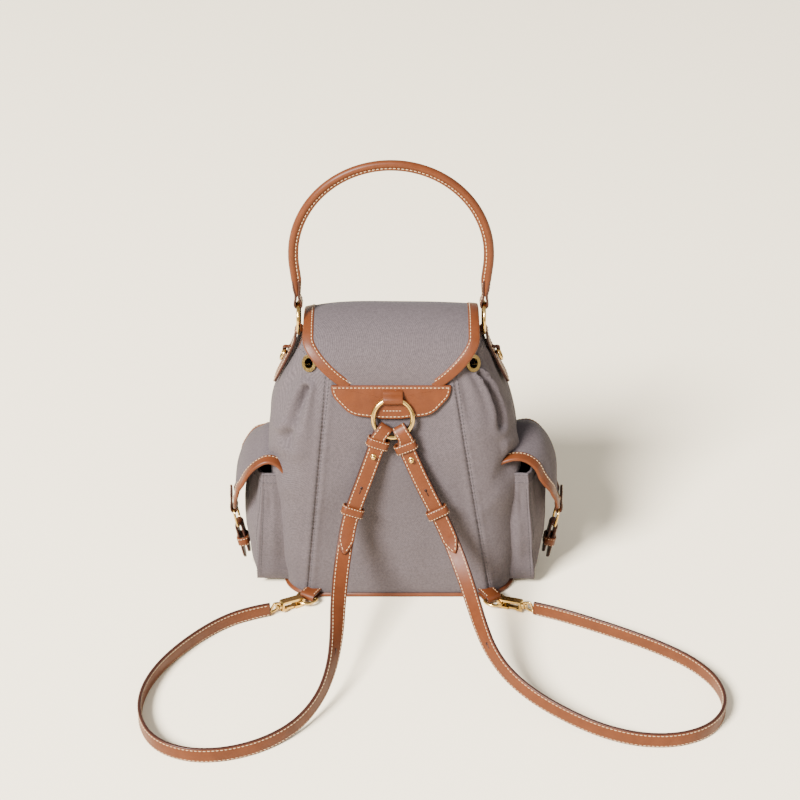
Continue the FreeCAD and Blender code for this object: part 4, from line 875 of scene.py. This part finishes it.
def sheet_shell(name, middle, normals, thick, body, **facts):
    """A closed thin canvas sheet either side of a middle grid."""
    rows, columns = middle.shape[:2]
    half = normals * thick / 2
    points = np.concatenate([(middle + half).reshape(-1, 3), (middle - half).reshape(-1, 3)])
    count = rows * columns
    faces = grid_faces(rows, columns)
    faces += [tuple(v + count for v in f[::-1]) for f in faces]
    ids = np.arange(count).reshape(rows, columns)
    rim = [*ids[0], *ids[1:, -1], *ids[-1, -2::-1], *ids[-2:0:-1, 0]]
    faces += [(a, a + count, b + count, b) for a, b in zip(rim, rim[1:] + rim[:1])]
    return make(name, points, faces, canvas, body, slot="canvas", **facts)


u_grid, s_grid = np.meshgrid(np.linspace(-1, 1, 81), np.linspace(-0.003, FLAP_LONG, 134))
flap_grid, flap_out = flap_surface(u_grid, s_grid)
flap_normals = facing(surface_normals(flap_grid, False), flap_out)
sheet_shell("flap_sheet", flap_grid[:, 1:-1], flap_normals[:, 1:-1], FLAP_SHEET, "flap",
            replaces=("top_flap",))

BINDING_WIDE, BINDING_THICK = 8.8 * MM, 3.2 * MM


def edge_line(grid, normals):
    """Outline points of an open grid from its first left corner round its far end."""
    return [np.concatenate([v[:, 0], v[-1, 1:-1], v[::-1, -1]]) for v in (grid, normals)]


def binding(name, thread_name, line, out, inside, wide, thick, thread_at, body, replaces):
    """A leather strip folded over an edge: rounded outside, flat where it lies on the sheet.

    thread_at is how far its stitches are from the edge, and how high on either face."""
    line, out, inside = resample(line, 1.5 * MM, out, inside)
    out = unit(out)
    inward = unit(facing(np.cross(out, along(line)), inside - line))
    section = [(0.55 * thick * math.cos(a) + 0.05 * thick, thick / 2 * math.sin(a))
               for a in math.pi * np.linspace(0.5, 1.5, 9)]
    flat_side = ((0.5, -0.46), (0.93, -0.42), (1, -0.3), (1, 0.3), (0.93, 0.42), (0.5, 0.49))
    section += [(wide * a, thick * b) for a, b in flat_side]
    sweep(name, line, inward, out, np.array(section) - (0.5 * MM, 0), leather, body, slot="leather",
          replaces=(replaces,))
    row, lift = line + inward * thread_at[0], out * thread_at[1]
    stitches(thread_name, [(row + lift, out), (row - lift, -out)], cream, body, 2.4 * MM, 1.1 * MM, 0.34 * MM)


flap_line, flap_edge_out = edge_line(flap_grid, flap_normals)
binding("flap_edge_binding", "flap_binding_thread", flap_line, flap_edge_out,
        flap_grid[90, 40] * 0.35 + flap_line * (0, 0.65, 0.65), BINDING_WIDE, BINDING_THICK,
        (BINDING_WIDE - 2.2 * MM, 0.46 * BINDING_THICK), "flap", "flap_binding")

# ---------------------------------------------------------------- back patch, its loop and ring


def offset_outline(outline, amount):
    """A convex outline moved inward by an amount, with its points kept in step."""
    ahead = unit(np.roll(outline, -1, 0) - np.roll(outline, 1, 0))
    inward = np.stack([-ahead[:, 1], ahead[:, 0]], 1)
    if np.sum(inward * (outline.mean(0) - outline)) < 0:
        inward = -inward
    return outline + inward * amount


def plate(name, outline, origin, across, down, out, thick, replaces):
    """A leather plate with rounded edges and a slightly full face."""
    steps = ((0.0, 0.0), (0.0, 0.45), (0.08, 0.78), (0.32, 0.97), (0.7, 1.0))
    rings = [(offset_outline(outline, inset * thick), lift * thick) for inset, lift in steps]
    last = rings[-1][0]
    centre = last.mean(0)
    for share in (0.85, 0.65, 0.45, 0.25, 0.1):
        rings.append((centre + (last - centre) * share, thick + 0.3 * MM * (1 - share ** 2)))
    points = np.concatenate([origin + ring[:, :1] * across + ring[:, 1:] * down + out * lift
                             for ring, lift in rings])
    count = len(outline)
    faces = grid_faces(len(rings), count, True)
    faces.append(tuple(range(count))[::-1])
    faces.append(tuple(range((len(rings) - 1) * count, len(rings) * count)))
    return make(name, points, faces, leather, "bag", slot="leather", replaces=(replaces,))


def smooth_outline(corners, step=1.2 * MM):
    """An outline of straight runs and quarter-ish turns: (x, y, radius) corners in mm."""
    corners = [(np.array(c[:2]) * MM, c[2] * MM) for c in corners]
    line = []
    for n, (here, radius) in enumerate(corners):
        before, after = corners[n - 1][0], corners[(n + 1) % len(corners)][0]
        into, away = unit(here - before), unit(after - here)
        half = math.acos(float(np.clip(into @ away, -1, 1))) / 2
        reach = radius * math.tan(half)
        middle = here + unit(away - into) * radius / math.cos(half)
        start = here - into * reach - middle
        sweep_angle = math.copysign(2 * half, into[0] * away[1] - into[1] * away[0])
        for k in range(9):
            c, s = math.cos(sweep_angle * k / 8), math.sin(sweep_angle * k / 8)
            line.append(middle + np.array([start[0] * c - start[1] * s, start[0] * s + start[1] * c]))
    line = np.array(line + line[:1])
    return resample(line, step)[:-1]


patch_outline = smooth_outline(((-54.5, -1.2, 1.2), (-53.5, 9, 16), (-37, 27, 22), (-8, 30.4, 40),
                                (8, 30.4, 40),
                                (37, 27, 22), (53.5, 9, 16), (54.5, -1.2, 1.2)))
plate("patch_leather", patch_outline, PATCH_TOP, X_AXIS, SLOPE_DOWN, SLOPE_OUT, 2.5 * MM, "back_patch")


def on_patch(points, lift):
    return PATCH_TOP + points[:, :1] * X_AXIS + points[:, 1:] * SLOPE_DOWN + SLOPE_OUT * lift


patch_row = offset_outline(patch_outline, 2.3 * MM)
patch_row = on_patch(np.concatenate([patch_row, patch_row[:1]]), 2.5 * MM)
stitches("patch_thread", [(patch_row, repeat(SLOPE_OUT, len(patch_row)))], cream, "bag",
         2.5 * MM, 1.1 * MM, 0.34 * MM)

LOOP_HALF = 9.0 * MM
loop_path = np.array([(3.4, 1.8), (4.6, 3.9), (6.8, 5.8), (9.0, 8.0), (11.2, 9.3), (13.6, 8.5), (14.9, 6.2),
                      (14.3, 3.9), (12.0, 2.95), (9.5, 2.9)]) * MM
loop_line = bend(loop_path, 0.6 * MM)
loop_places = PATCH_TOP + 1.6 * MM * X_AXIS + loop_line[:, :1] * SLOPE_DOWN + loop_line[:, 1:] * SLOPE_OUT
loop_up = np.cross(X_AXIS, along(loop_places))
loop_up *= np.sign(loop_up[5] @ SLOPE_OUT)
sweep("ring_loop", loop_places, repeat(X_AXIS, len(loop_places)), loop_up,
      rounded(2 * LOOP_HALF, 1.7 * MM, 0.6 * MM, 3), leather, "bag", slot="leather", replaces=("patch_loop",))
loop_row = on_patch(np.linspace((-7.4, 22.4), (10.6, 22.4), 12) * MM, 2.75 * MM)
stitches("ring_loop_thread", [(loop_row, repeat(SLOPE_OUT, 12))], cream, "bag", *FINE_STITCH)


def wire_ring(name, centre, normal, radius, wire, node, steps=96):
    """A polished wire ring."""
    normal = unit(normal)
    side = unit(np.cross(normal, [0.2, 0.3, 0.93]))
    angle = 2 * np.pi * np.arange(steps)[:, None] / steps
    outward = np.cos(angle) * side + np.sin(angle) * np.cross(normal, side)
    return sweep(name, centre + outward * radius, outward, repeat(normal, steps), ring_section(wire, 18),
                 brass, node, closed=True, slot="brass", replaces=(node,))


wire_ring("carry_ring", RING_CENTRE, SLOPE_OUT, RING_RADIUS, RING_WIRE, "back_ring")

# ---------------------------------------------------------------- carry handle

ARCH_RADIUS, ARCH_SPRING = 88.5 * MM, 335.0 * MM
HANDLE_RING_Z, HANDLE_RING_RADIUS, HANDLE_RING_WIRE = 272.0 * MM, 14.5 * MM, 1.6 * MM
HANDLE_X = 84.5 * MM
EYE_Z = HANDLE_RING_Z + HANDLE_RING_RADIUS
arch = [(-HANDLE_X - 0.6 * MM, 0, EYE_Z + 9.0 * MM), (-HANDLE_X - 2.0 * MM, 0, EYE_Z + 24.0 * MM)]
arch += [(ARCH_RADIUS * math.cos(a), 0, ARCH_SPRING + ARCH_RADIUS * math.sin(a))
         for a in np.radians(np.linspace(180, 0, 25))]
arch += [(-x, y, z) for x, y, z in arch[1::-1]]
arch = bend(arch, 1.6 * MM)
arch_side = repeat(Y_AXIS, len(arch))
arch_up = unit(np.cross(along(arch), arch_side))
arch_up *= np.sign(arch_up[len(arch) // 2][2])
# the handle is a leather roll over a cord, with the strip's two edges stitched together as a flange below it
ROLL = 3.75 * MM
FLANGE_HALF = 1.35 * MM
flange = [(-1.15, -3.1), (-1.0, -3.9), (-1.0, -5.0), (-0.7, -5.4)]
roll_section = [(ROLL * math.cos(a), 0.6 * MM + ROLL * 0.92 * math.sin(a))
                for a in np.radians(np.linspace(-52, 232, 15))]
roll_section += [(FLANGE_HALF * a, b * MM) for a, b in flange + [(-a, b) for a, b in flange[::-1]]]
arch_far = distances(arch)
flat = np.clip(1 - np.minimum(arch_far, arch_far[-1] - arch_far) / 0.016, 0, 1) ** 1.3
arch_sections = np.array(roll_section) * np.stack([1 + 0.22 * flat, 1 - 0.45 * flat], 1)[:, None]
arch_choice = [0] * 17 + [1] * 4 + [0] * 2
sweep("carry_handle", arch, arch_side, arch_up, arch_sections, [leather, leather_dark], "handle",
      choice=arch_choice, slot="leather", replaces=("handle",))
inner = slice(8, len(arch) - 8)
handle_rows = [(arch[inner] + arch_side[inner] * sign * 1.75 * MM - arch_up[inner] * 2.9 * MM,
                arch_side[inner] * sign) for sign in (-1, 1)]
stitches("carry_handle_thread", handle_rows, cream, "handle", radius=0.36 * MM)


def margin_rows(line, across, face, half, thick, inset, keep):
    """Stitch lines inside both edges of a strip's face, over the points to keep."""
    line, across, face = line[keep], across[keep], face[keep]
    margin = np.clip(half[keep] - inset, 0, None)[:, None]
    return [(line + across * (sign * margin) + face * thick / 2, face) for sign in (-1, 1)]


def teardrop(name, side):
    """The handle's end: a leather strip folded round the handle ring."""
    reach = HANDLE_RING_WIRE / MM + 1.5
    leg = [(2.5, 24.0), (2.4, 16.0), (1.5, 10.0), (1.5, 7.0), (2.6, 3.6)]
    path = leg + [(reach * math.cos(a), reach * math.sin(a)) for a in np.radians(range(0, -181, -30))]
    path += [(-x, z) for x, z in leg[::-1]]
    line = bend([(x * side * MM, 0, z * MM) for x, z in path], 0.8 * MM)
    line += (side * HANDLE_X, 0, EYE_Z)
    above = line[:, 2] - EYE_Z
    line[:, 0] += side * np.clip(above, 0, None) * 0.07
    across = repeat(Y_AXIS, len(line))
    out = np.cross(along(line), across)
    out *= np.sign(out[0][0] * side)
    halves = 1.0 - 0.3 * np.clip(above / 0.022, 0, 1) ** 2 + 0.1 * np.exp(-((above - 0.006) / 0.006) ** 2)
    section = ribbon_sections(10.0 * MM, 2.0 * MM, halves)
    sweep(name, line, across, out, section, [leather, leather_dark], "handle", choice=EDGE_CHOICE,
          slot="leather")
    rows = []
    for keep in np.split(np.arange(len(line)), [len(line) // 2]):
        keep = keep[above[keep] > 0.002]
        rows += margin_rows(line, across, out, 5.0 * MM * halves, 2.0 * MM, 1.3 * MM, keep)
    stitches(name + "_thread", rows, cream, "handle", *FINE_STITCH)


for side, name in SIDES:
    teardrop(f"handle_end_{name}", side)
    wire_ring(f"{name}_handle_wire", (side * HANDLE_X, 0, HANDLE_RING_Z), X_AXIS, HANDLE_RING_RADIUS,
              HANDLE_RING_WIRE, f"{name}_handle_ring", 72)

# ---------------------------------------------------------------- side tabs and their small loops


def ribbon(name, path, across_axis, wide, thick, halves, out_hint, body="bag", step=0.8 * MM,
           material=leather, replaces=()):
    """A leather strip along given points; returns its line, side, face and half widths."""
    line = bend(path, step)
    ahead = along(line)
    across = square(repeat(across_axis, len(line)), ahead)
    face = np.cross(ahead, across)
    if face[0] @ out_hint < 0:
        face = -face
    spread = halves(np.linspace(0, 1, len(line)), len(line) * step)
    sweep(name, line, across, face, ribbon_sections(wide, thick, spread), [material, leather_dark], body,
          choice=EDGE_CHOICE, slot="leather", replaces=replaces)
    return line, across, face, spread * wide / 2


def pointed(first, last=0.0):
    """Half widths that come to a point at the start, and at the end if asked."""
    def halves(t, length):
        near, far = t * length, (1 - t) * length
        half = np.clip(near / first, 0.004, 1) ** 0.6
        return half * (np.clip(far / last, 0.004, 1) ** 0.6 if last else 1)
    return halves


def straight(t, length):
    return np.ones_like(t)


# a side tab's path up the bag's side and over its ring, and its small loop's path about the small wire
TAB_PATH = ((109.0, 204.0), (106.6, 211.0), (102.9, 219.0), (98.7, 227.5), (94.4, 236.5), (90.6, 245.0),
            (88.2, 252.0), (87.6, 257.5), (86.6, 259.9), (84.5, 260.7), (82.3, 259.7), (81.3, 257.0),
            (81.2, 252.5), (82.9, 247.0), (84.3, 243.0))
LOOP_PATH = ((-3.3, -4.2), (-1.4, -2.6), (1.0, -1.75), (2.2, 0), (1.0, 1.75), (-1.4, 2.6), (-3.3, 4.2))
for side, name in SIDES:
    path = [(x * side * MM, 0, z * MM) for x, z in TAB_PATH]
    strip = ribbon(f"{name}_side_strip", path, Y_AXIS, 15.4 * MM, 2.4 * MM, pointed(9 * MM), X_AXIS * side,
                   replaces=(f"{name}_side_tab",))
    count = len(strip[0])
    rows = margin_rows(*strip, 2.4 * MM, 2.0 * MM, np.arange(count) < 0.76 * count)
    stitches(f"{name}_side_strip_thread", rows, cream, "bag", 2.3 * MM, 1.0 * MM)
    wire_at = np.array([side * 97.81, 0, 239.7]) * MM
    run = unit((-24.0 * side, 0, 52.5))
    outward = unit((52.5 * side, 0, 24.0))
    ribbon(f"{name}_small_loop", [wire_at + outward * a * MM + run * b * MM for a, b in LOOP_PATH], Y_AXIS,
           5.0 * MM, 1.3 * MM, straight, -run, step=0.4 * MM, replaces=(f"{name}_tab_loop",))
    wire_ring(f"{name}_small_ring", np.array([side * 100.22, 0, 234.42]) * MM, outward, 5.8 * MM, 1.1 * MM,
              f"{name}_tab_ring", 40)

# ---------------------------------------------------------------- side pockets

POCKET_AXIS = 3.5
# height, reach from the pocket axis and half depth of a pocket
POCKET_LEVELS = np.array([(8.0, 131.0, 42.0), (14.0, 136.0, 44.0), (40.0, 143.0, 47.0), (74.0, 145.5, 48.3),
                          (104.0, 142.5, 47.5), (131.0, 137.0, 45.0)]) * MM
POCKET_CLOTH = 2.2 * MM
POCKET_COLUMNS, POCKET_WALL = 140, 30
# the pocket's soft creases: place across it, width, depth in mm, and where it starts and ends up the pocket
POCKET_CREASES = ((-0.45, 0.06, 2.2, 0.5, 1.0), (-0.8, 0.05, 1.2, 0.55, 0.95), (-0.5, 0.05, 1.6, 0.0, 0.5),
                  (-0.2, 0.06, 2.0, 0.45, 1.0), (0.25, 0.06, 2.0, 0.4, 1.0), (0.5, 0.06, 2.2, 0.5, 1.0))


def body_edge(side, y, height):
    """How far out the body's own surface is beside a pocket."""
    half_width, half_depth, corner, lean = hermite([height], BODY_LEVELS[:, 0], BODY_LEVELS[:, 1:])[0]
    past = np.clip(abs(y) - (half_depth - corner), 0, corner * 0.999)
    return half_width - corner + math.sqrt(corner ** 2 - past ** 2) + lean * side


def pocket_row(side, height, shrink):
    """One level of a pocket from its near seam round its outer face to its far seam."""
    reach, depth = hermite([height], POCKET_LEVELS[:, 0], POCKET_LEVELS[:, 1:])[0]
    inner = body_edge(side, depth, height) - 3.0 * MM
    edge = (133.0 - 10.5 * (height / MM - 15.0) / 123.0 + POCKET_AXIS * side) * MM
    edge = inner + (edge - inner) * shrink
    reach = inner + (reach + POCKET_AXIS * MM * side - inner) * shrink
    depth = depth * (0.35 + 0.65 * shrink)
    face = np.linspace(-1, 1, 121)
    outer = np.stack([edge + (reach - edge) * (1 - np.abs(face) ** 2.2), depth * face], 1)
    wall = np.linspace((inner, -depth), outer[0], POCKET_WALL)
    middle = resample(outer, 0.5 * MM)
    spots = np.linspace(0, len(middle) - 1, POCKET_COLUMNS - 2 * POCKET_WALL + 2)
    middle = sample(spots, np.arange(len(middle)), middle)
    row = np.concatenate([wall[:-1], middle, (wall * (1, -1))[::-1][1:]])
    return np.column_stack([row * (side, 1), np.full(POCKET_COLUMNS, height)])


def pocket(side, name):
    """The gathered pocket, its hem, its corner seams and their stitching."""
    heights = np.concatenate([np.full(6, 8.0), np.linspace(8.6, 131.0, 78)]) * MM
    shrinks = np.concatenate([(0.02, 0.3, 0.6, 0.82, 0.93, 0.985), np.ones(78)])
    grid = np.stack([pocket_row(side, h, s) for h, s in zip(heights, shrinks)])
    t = np.linspace(-1, 1, POCKET_COLUMNS)[None]
    rise = np.clip((heights - 8 * MM) / (123 * MM), 0, 1)[:, None]
    middle = (side * 0.118, 0, 0.07)
    out = facing(surface_normals(grid, False), grid - middle)
    corner = 1 - 2 * (POCKET_WALL - 1) / (POCKET_COLUMNS - 1)
    seams = np.abs(np.abs(t) - corner)
    push = 0.9 * MM * np.exp(-(seams / 0.014) ** 2) * np.clip(rise * 8, 0, 1)
    push = push + 1.6 * MM * np.exp(-((np.abs(t) - 0.8) / 0.09) ** 2) * np.sin(np.pi * rise ** 0.8)
    push = push + (soft_noise(grid, 26, 4.0 + side) * 2.0 + soft_noise(grid, 70, 8.0) * 0.5) * MM
    for at, wide, deep, low, high in POCKET_CREASES:
        span = np.clip((rise - low) / 0.2, 0, 1) * np.clip((high - rise) / 0.2 + (high >= 1.0), 0, 1)
        push = push - deep * MM * span * np.exp(-((t - at - 0.06 * rise) / wide) ** 2)
    hem = heights[:, None] > 119.0 * MM
    grid = grid + out * (push + 0.5 * MM * hem)[..., None]
    high_part = np.clip((rise - 0.75) / 0.25, 0, 1) ** 2
    dip = (8.0 * MM * np.exp(-(t / 0.35) ** 2) + 9.0 * MM * np.clip(t + 0.1, 0, 1) ** 0.7) * high_part
    grid[:, :, 1] *= np.where(grid[:, :, 1] > 0, 0.84, 1.0)
    grid[:, :, 2] -= dip
    grid[:, :, 2] = np.maximum(grid[:, :, 2], 5.0 * MM)
    out = facing(surface_normals(grid, False), grid - middle)
    sheet_shell(f"{name}_pocket_cloth", grid - out * POCKET_CLOTH / 2, out, POCKET_CLOTH, "bag",
                replaces=(f"{name}_pocket",))
    rows = [(grid[level, 6:-6] + out[level, 6:-6] * 0.05 * MM, out[level, 6:-6]) for level in (-2, -7)]
    for seam in (POCKET_WALL - 1, POCKET_COLUMNS - POCKET_WALL):
        rows += [(grid[8:-9, column], out[8:-9, column]) for column in (seam - 3, seam + 3)]
    stitches(f"{name}_pocket_thread", rows, slate, "bag", 2.6 * MM, 1.0 * MM, 0.3 * MM, "canvas")


for side, name in SIDES:
    pocket(side, name)

# ---------------------------------------------------------------- pocket flaps

ARC_AT, ARC_HEIGHT, ARC_RADIUS, TIP_FALL = 117.5, 112.0, 41.0, 32.0
DOME_ANGLES = np.radians((-90.0, -14.0, 0.0, 20.0, 45.0, 67.0, 90.0, 124.0))
# how far a pocket flap stands off its arc's centre along its middle, and its drop at the near and far edges
DOMES = {
    "left": ((38.5, 33.8, 33.0, 31.5, 32.0, 34.5, 41.2, 41.4), (1.8, 1.8, 3.0, 4.6, 4.0, 3.4, 6.6, 15.0),
             (1.8, 3.0, 4.0, 6.0, 8.0, 13.0, 20.0, 23.0)),
    "right": ((40.5, 36.5, 36.0, 37.0, 39.5, 43.0, 43.5, 43.0), (2.8, 4.0, 7.0, 12.0, 14.5, 11.5, 6.0, 4.0),
              (2.8, 5.0, 8.0, 10.0, 12.0, 16.0, 21.0, 24.0)),
}


def pocket_flap_grid(side, name, rows=96, columns=61):
    """The middle surface of a pocket flap, from its root over the dome to its tip."""
    u = np.linspace(-1, 1, columns)[None]
    v = np.linspace(0, 1, rows)[:, None]
    root = np.radians(94.0 + np.where(u < 0, 28.0, 14.0) * u ** 2)
    length = ARC_RADIUS * root + TIP_FALL
    s = v * length
    left = length - s
    phi = root - s / ARC_RADIUS
    fall = np.clip(-phi * ARC_RADIUS, 0, None)
    angle = np.clip(phi, 0, None)
    ridge, near, far = (hermite(phi, DOME_ANGLES, values) for values in DOMES[name])
    tip = np.clip(left / 26.0, 0.12, 1)
    reach = ridge - np.where(u < 0, near * np.abs(u) ** 2.4, far * np.abs(u) ** 1.7) * tip
    tau = np.clip((54.0 - left) / 54.0, 0, 1)
    end = np.clip((9.0 - left) / 9.0, 0, 1)
    half = 49.5 - 30.0 * tau ** 1.9 - 11.0 * (1 - np.sqrt(1 - end ** 2))
    y = u * half * np.where(u > 0, 0.8 + 0.2 * tau, 1.0) - 10.0 * tau ** 1.6
    x = ARC_AT + reach * np.cos(angle)
    z = ARC_HEIGHT + reach * np.sin(angle) - fall
    points = np.stack([(x * side + POCKET_AXIS), y + 0 * x, z + 0 * x], -1) * MM
    wave = soft_noise(points, 30, 12.0 + side) * 1.2 * MM * np.clip(s / 12.0, 0, 1) * (1 - u ** 4)
    wave = wave * np.clip(left / 14.0, 0, 1)
    hint = np.stack([np.cos(angle) * side + 0 * x, 0 * x, np.sin(angle) + 0 * x], -1)
    out = facing(surface_normals(points, False), hint)
    return points + out * wave[..., None], out


CLOSURE_WIDE, BUCKLE_HALF, BAR_RADIUS = 12.0 * MM, 11.0 * MM, 1.2 * MM
# where the buckle's upper bar is, outward and down from a closure's anchor, in mm
BAR_AT, BAR_DROP = 1.7, -13.0


def closure(prefix, at, out, across, up, body, replaces):
    """Tip, buckle, folded strap and keeper that hang below a flap; out, across and up are its axes."""
    def spots(*pairs):
        return [at + out * x * MM + up * z * MM for x, z in pairs]

    def strip(kind, path, wide, thick, halves, step, material, inset, shown, radius, nodes):
        line, *ways = ribbon(f"{prefix}_{kind}", spots(*path), across, wide, thick, halves, out, body, step,
                             material, nodes)
        rows = margin_rows(line, *ways, thick, inset, np.arange(len(line)) < shown * len(line))
        stitches(f"{prefix}_{kind.split('_')[0]}_thread", rows, cream, body, 2.0 * MM, 0.9 * MM, radius)

    tip = [(-1.0, 12.0), (0.2, 6.0), (2.0, -3.0), (3.9, -9.5)]
    half_turn = np.radians(range(0, 181, 30))
    tip += [(BAR_AT + 2.55 * math.cos(a), BAR_DROP - 2.55 * math.sin(a)) for a in half_turn]
    tip += [(-0.5, -9.0), (-0.9, -3.0)]
    strip("tip_strip", tip, CLOSURE_WIDE + 1.6 * MM, 1.6 * MM, pointed(7 * MM), 0.5 * MM, leather,
          1.7 * MM, 0.56, 0.3 * MM, ())
    path = rounded(2 * (BUCKLE_HALF - BAR_RADIUS), 2 * (BUCKLE_HALF - BAR_RADIUS), 6.4 * MM, 10)
    centre = spots((BAR_AT, BAR_DROP + (BAR_RADIUS - BUCKLE_HALF) / MM))[0]
    places = centre + across * path[:, :1] + up * path[:, 1:]
    outward = facing(unit(np.cross(along(places, True), out)), places - centre)
    sweep(f"{prefix}_buckle_frame", places, outward, repeat(out, len(places)), ring_section(BAR_RADIUS, 12),
          brass, body, closed=True, slot="brass", replaces=(replaces[0],))
    low = -32.6
    fold = [(2.9, -40.0), (2.9, -36.5), (2.8, -24.0), (2.8, -12.0), (2.85, -4.0)]
    fold += [(2.8 * math.cos(a), 2.8 * math.sin(a)) for a in half_turn]
    fold += [(-2.8, -5.0), (-2.8, -17.0), (-2.7, -34.0)]
    strip("folded_strap", [(BAR_AT + x, low + z) for x, z in fold], CLOSURE_WIDE, 1.9 * MM,
          pointed(6 * MM, 4 * MM), 0.6 * MM, leather_deep, 1.6 * MM, 0.48, 0.28 * MM, (replaces[1],))
    band(f"{prefix}_strap_keeper", spots((BAR_AT, low - 18.0))[0], -up, across, out, CLOSURE_WIDE + 2.2 * MM,
         9.5 * MM, 9.0 * MM, 1.7 * MM, body, slot="keeper_leather", replaces=(replaces[2],))


PARTS = ("buckle", "strap", "keeper")
for side, name in SIDES:
    body = f"{name}_pocket_flap"
    grid, out = pocket_flap_grid(side, name)
    sheet_shell(f"{name}_flap_cloth", grid[:, 1:-1], out[:, 1:-1], 1.8 * MM, body, replaces=(body,))
    inside = np.concatenate([grid[:, 12], grid[-14, 1:-1], grid[::-1, -13]])
    binding(f"{name}_flap_edging", f"{name}_flap_thread", *edge_line(grid, out), inside, 8.6 * MM, 3.6 * MM,
            (6.0 * MM, 1.62 * MM), body, f"{name}_pocket_binding")
    lean = math.radians(11.0)
    outward = np.array([side * math.cos(lean), 0, -math.sin(lean)])
    upward = np.array([side * math.sin(lean), 0, math.cos(lean)])
    anchor = np.array([POCKET_AXIS + (-156.0 if side < 0 else 158.0), -10.0, 83.0]) * MM
    closure(f"{name}_pocket_closure", anchor, outward, Y_AXIS, upward, body,
            [f"{name}_pocket_{part}" for part in PARTS])
closure("front_closure", np.array([0, 76.3, 140.0]) * MM, Y_AXIS, X_AXIS, Z_AXIS, "flap",
        [f"flap_{part}" for part in PARTS])

# ---------------------------------------------------------------- leather base and its two tabs

base_outline, _ = rounded_loop(111.4 * MM, 62.4 * MM, 33.4 * MM, 40)
base_outline = resample(base_outline, 2.0 * MM)[:-1] + (7.0 * MM, 0)
plate("leather_base", base_outline, 3.6 * MM * Z_AXIS, X_AXIS, Y_AXIS, -Z_AXIS, 3.4 * MM, "base_panel")
# each D ring's straight bar: its place and the direction its tab points in
TAB_SPOTS = {"left": ((-79.5, -67.5, 5.65), (-0.5, -0.866, 0.0)),
             "right": ((96.5, -70.5, 5.65), (0.5, -0.866, 0.0))}
DEE_PATH = [(-22.0, 3.0), (-14.0, 3.0), (-6.0, 3.2)]
DEE_PATH += [(2.9 * math.sin(a), 2.9 * math.cos(a)) for a in np.radians(range(0, 181, 30))]
DEE_PATH += [(-6.0, -2.6), (-14.0, -2.2), (-22.0, -2.0)]
for side, name in SIDES:
    bar, ahead = (np.array(v) for v in TAB_SPOTS[name])
    ahead = unit(ahead)
    path = [bar * MM + ahead * a * MM + Z_AXIS * b * MM for a, b in DEE_PATH]
    strip = ribbon(f"{name}_dee_tab", path, np.cross(Z_AXIS, ahead), 15.0 * MM, 1.7 * MM, straight, Z_AXIS,
                   step=0.6 * MM, replaces=(f"{name}_base_tab",))
    count = len(strip[0])
    rows = margin_rows(*strip, 1.7 * MM, 1.7 * MM, np.arange(count) < 0.42 * count)
    stitches(f"{name}_dee_tab_thread", rows, cream, "bag", 2.2 * MM, 1.0 * MM, 0.3 * MM)

# ---------------------------------------------------------------- floor and light

floor_mesh = bpy.data.meshes.new("floor")
FLOOR_HALF = 12.0
floor_mesh.from_pydata([(-FLOOR_HALF, -FLOOR_HALF, 0), (FLOOR_HALF, -FLOOR_HALF, 0),
                        (FLOOR_HALF, FLOOR_HALF, 0), (-FLOOR_HALF, FLOOR_HALF, 0)], [], [(0, 1, 2, 3)])
floor = bpy.data.objects.new("floor", floor_mesh)
bpy.context.scene.collection.objects.link(floor)
paper = Nodes("paper_floor")
floor_mesh.materials.append(paper.set(Base_Color=(0.93, 0.83, 0.64, 1.0), Roughness=0.9,
                                      Specular_IOR_Level=0.1))

world = bpy.data.worlds.new("studio")
world.use_nodes = True
world.node_tree.nodes["Background"].inputs["Color"].default_value = (1.0, 0.985, 0.965, 1.0)
world.node_tree.nodes["Background"].inputs["Strength"].default_value = 0.6
bpy.context.scene.world = world


def area_light(name, place, aim, size, power, colour):
    data = bpy.data.lights.new(name, "AREA")
    data.shape = "DISK"
    data.size = size
    data.energy = power
    data.color = colour
    lamp = bpy.data.objects.new(name, data)
    lamp.location = place
    lamp.rotation_euler = (Vector(aim) - Vector(place)).to_track_quat("-Z", "Y").to_euler()
    bpy.context.scene.collection.objects.link(lamp)


area_light("key", (-4.4, -5.0, 5.5), (0, 0, 0.1), 3.0, 4200.0, (1.0, 0.975, 0.94))
area_light("fill", (1.6, -1.3, 1.5), (0, 0, 0.15), 1.6, 14.0, (1.0, 0.98, 0.96))
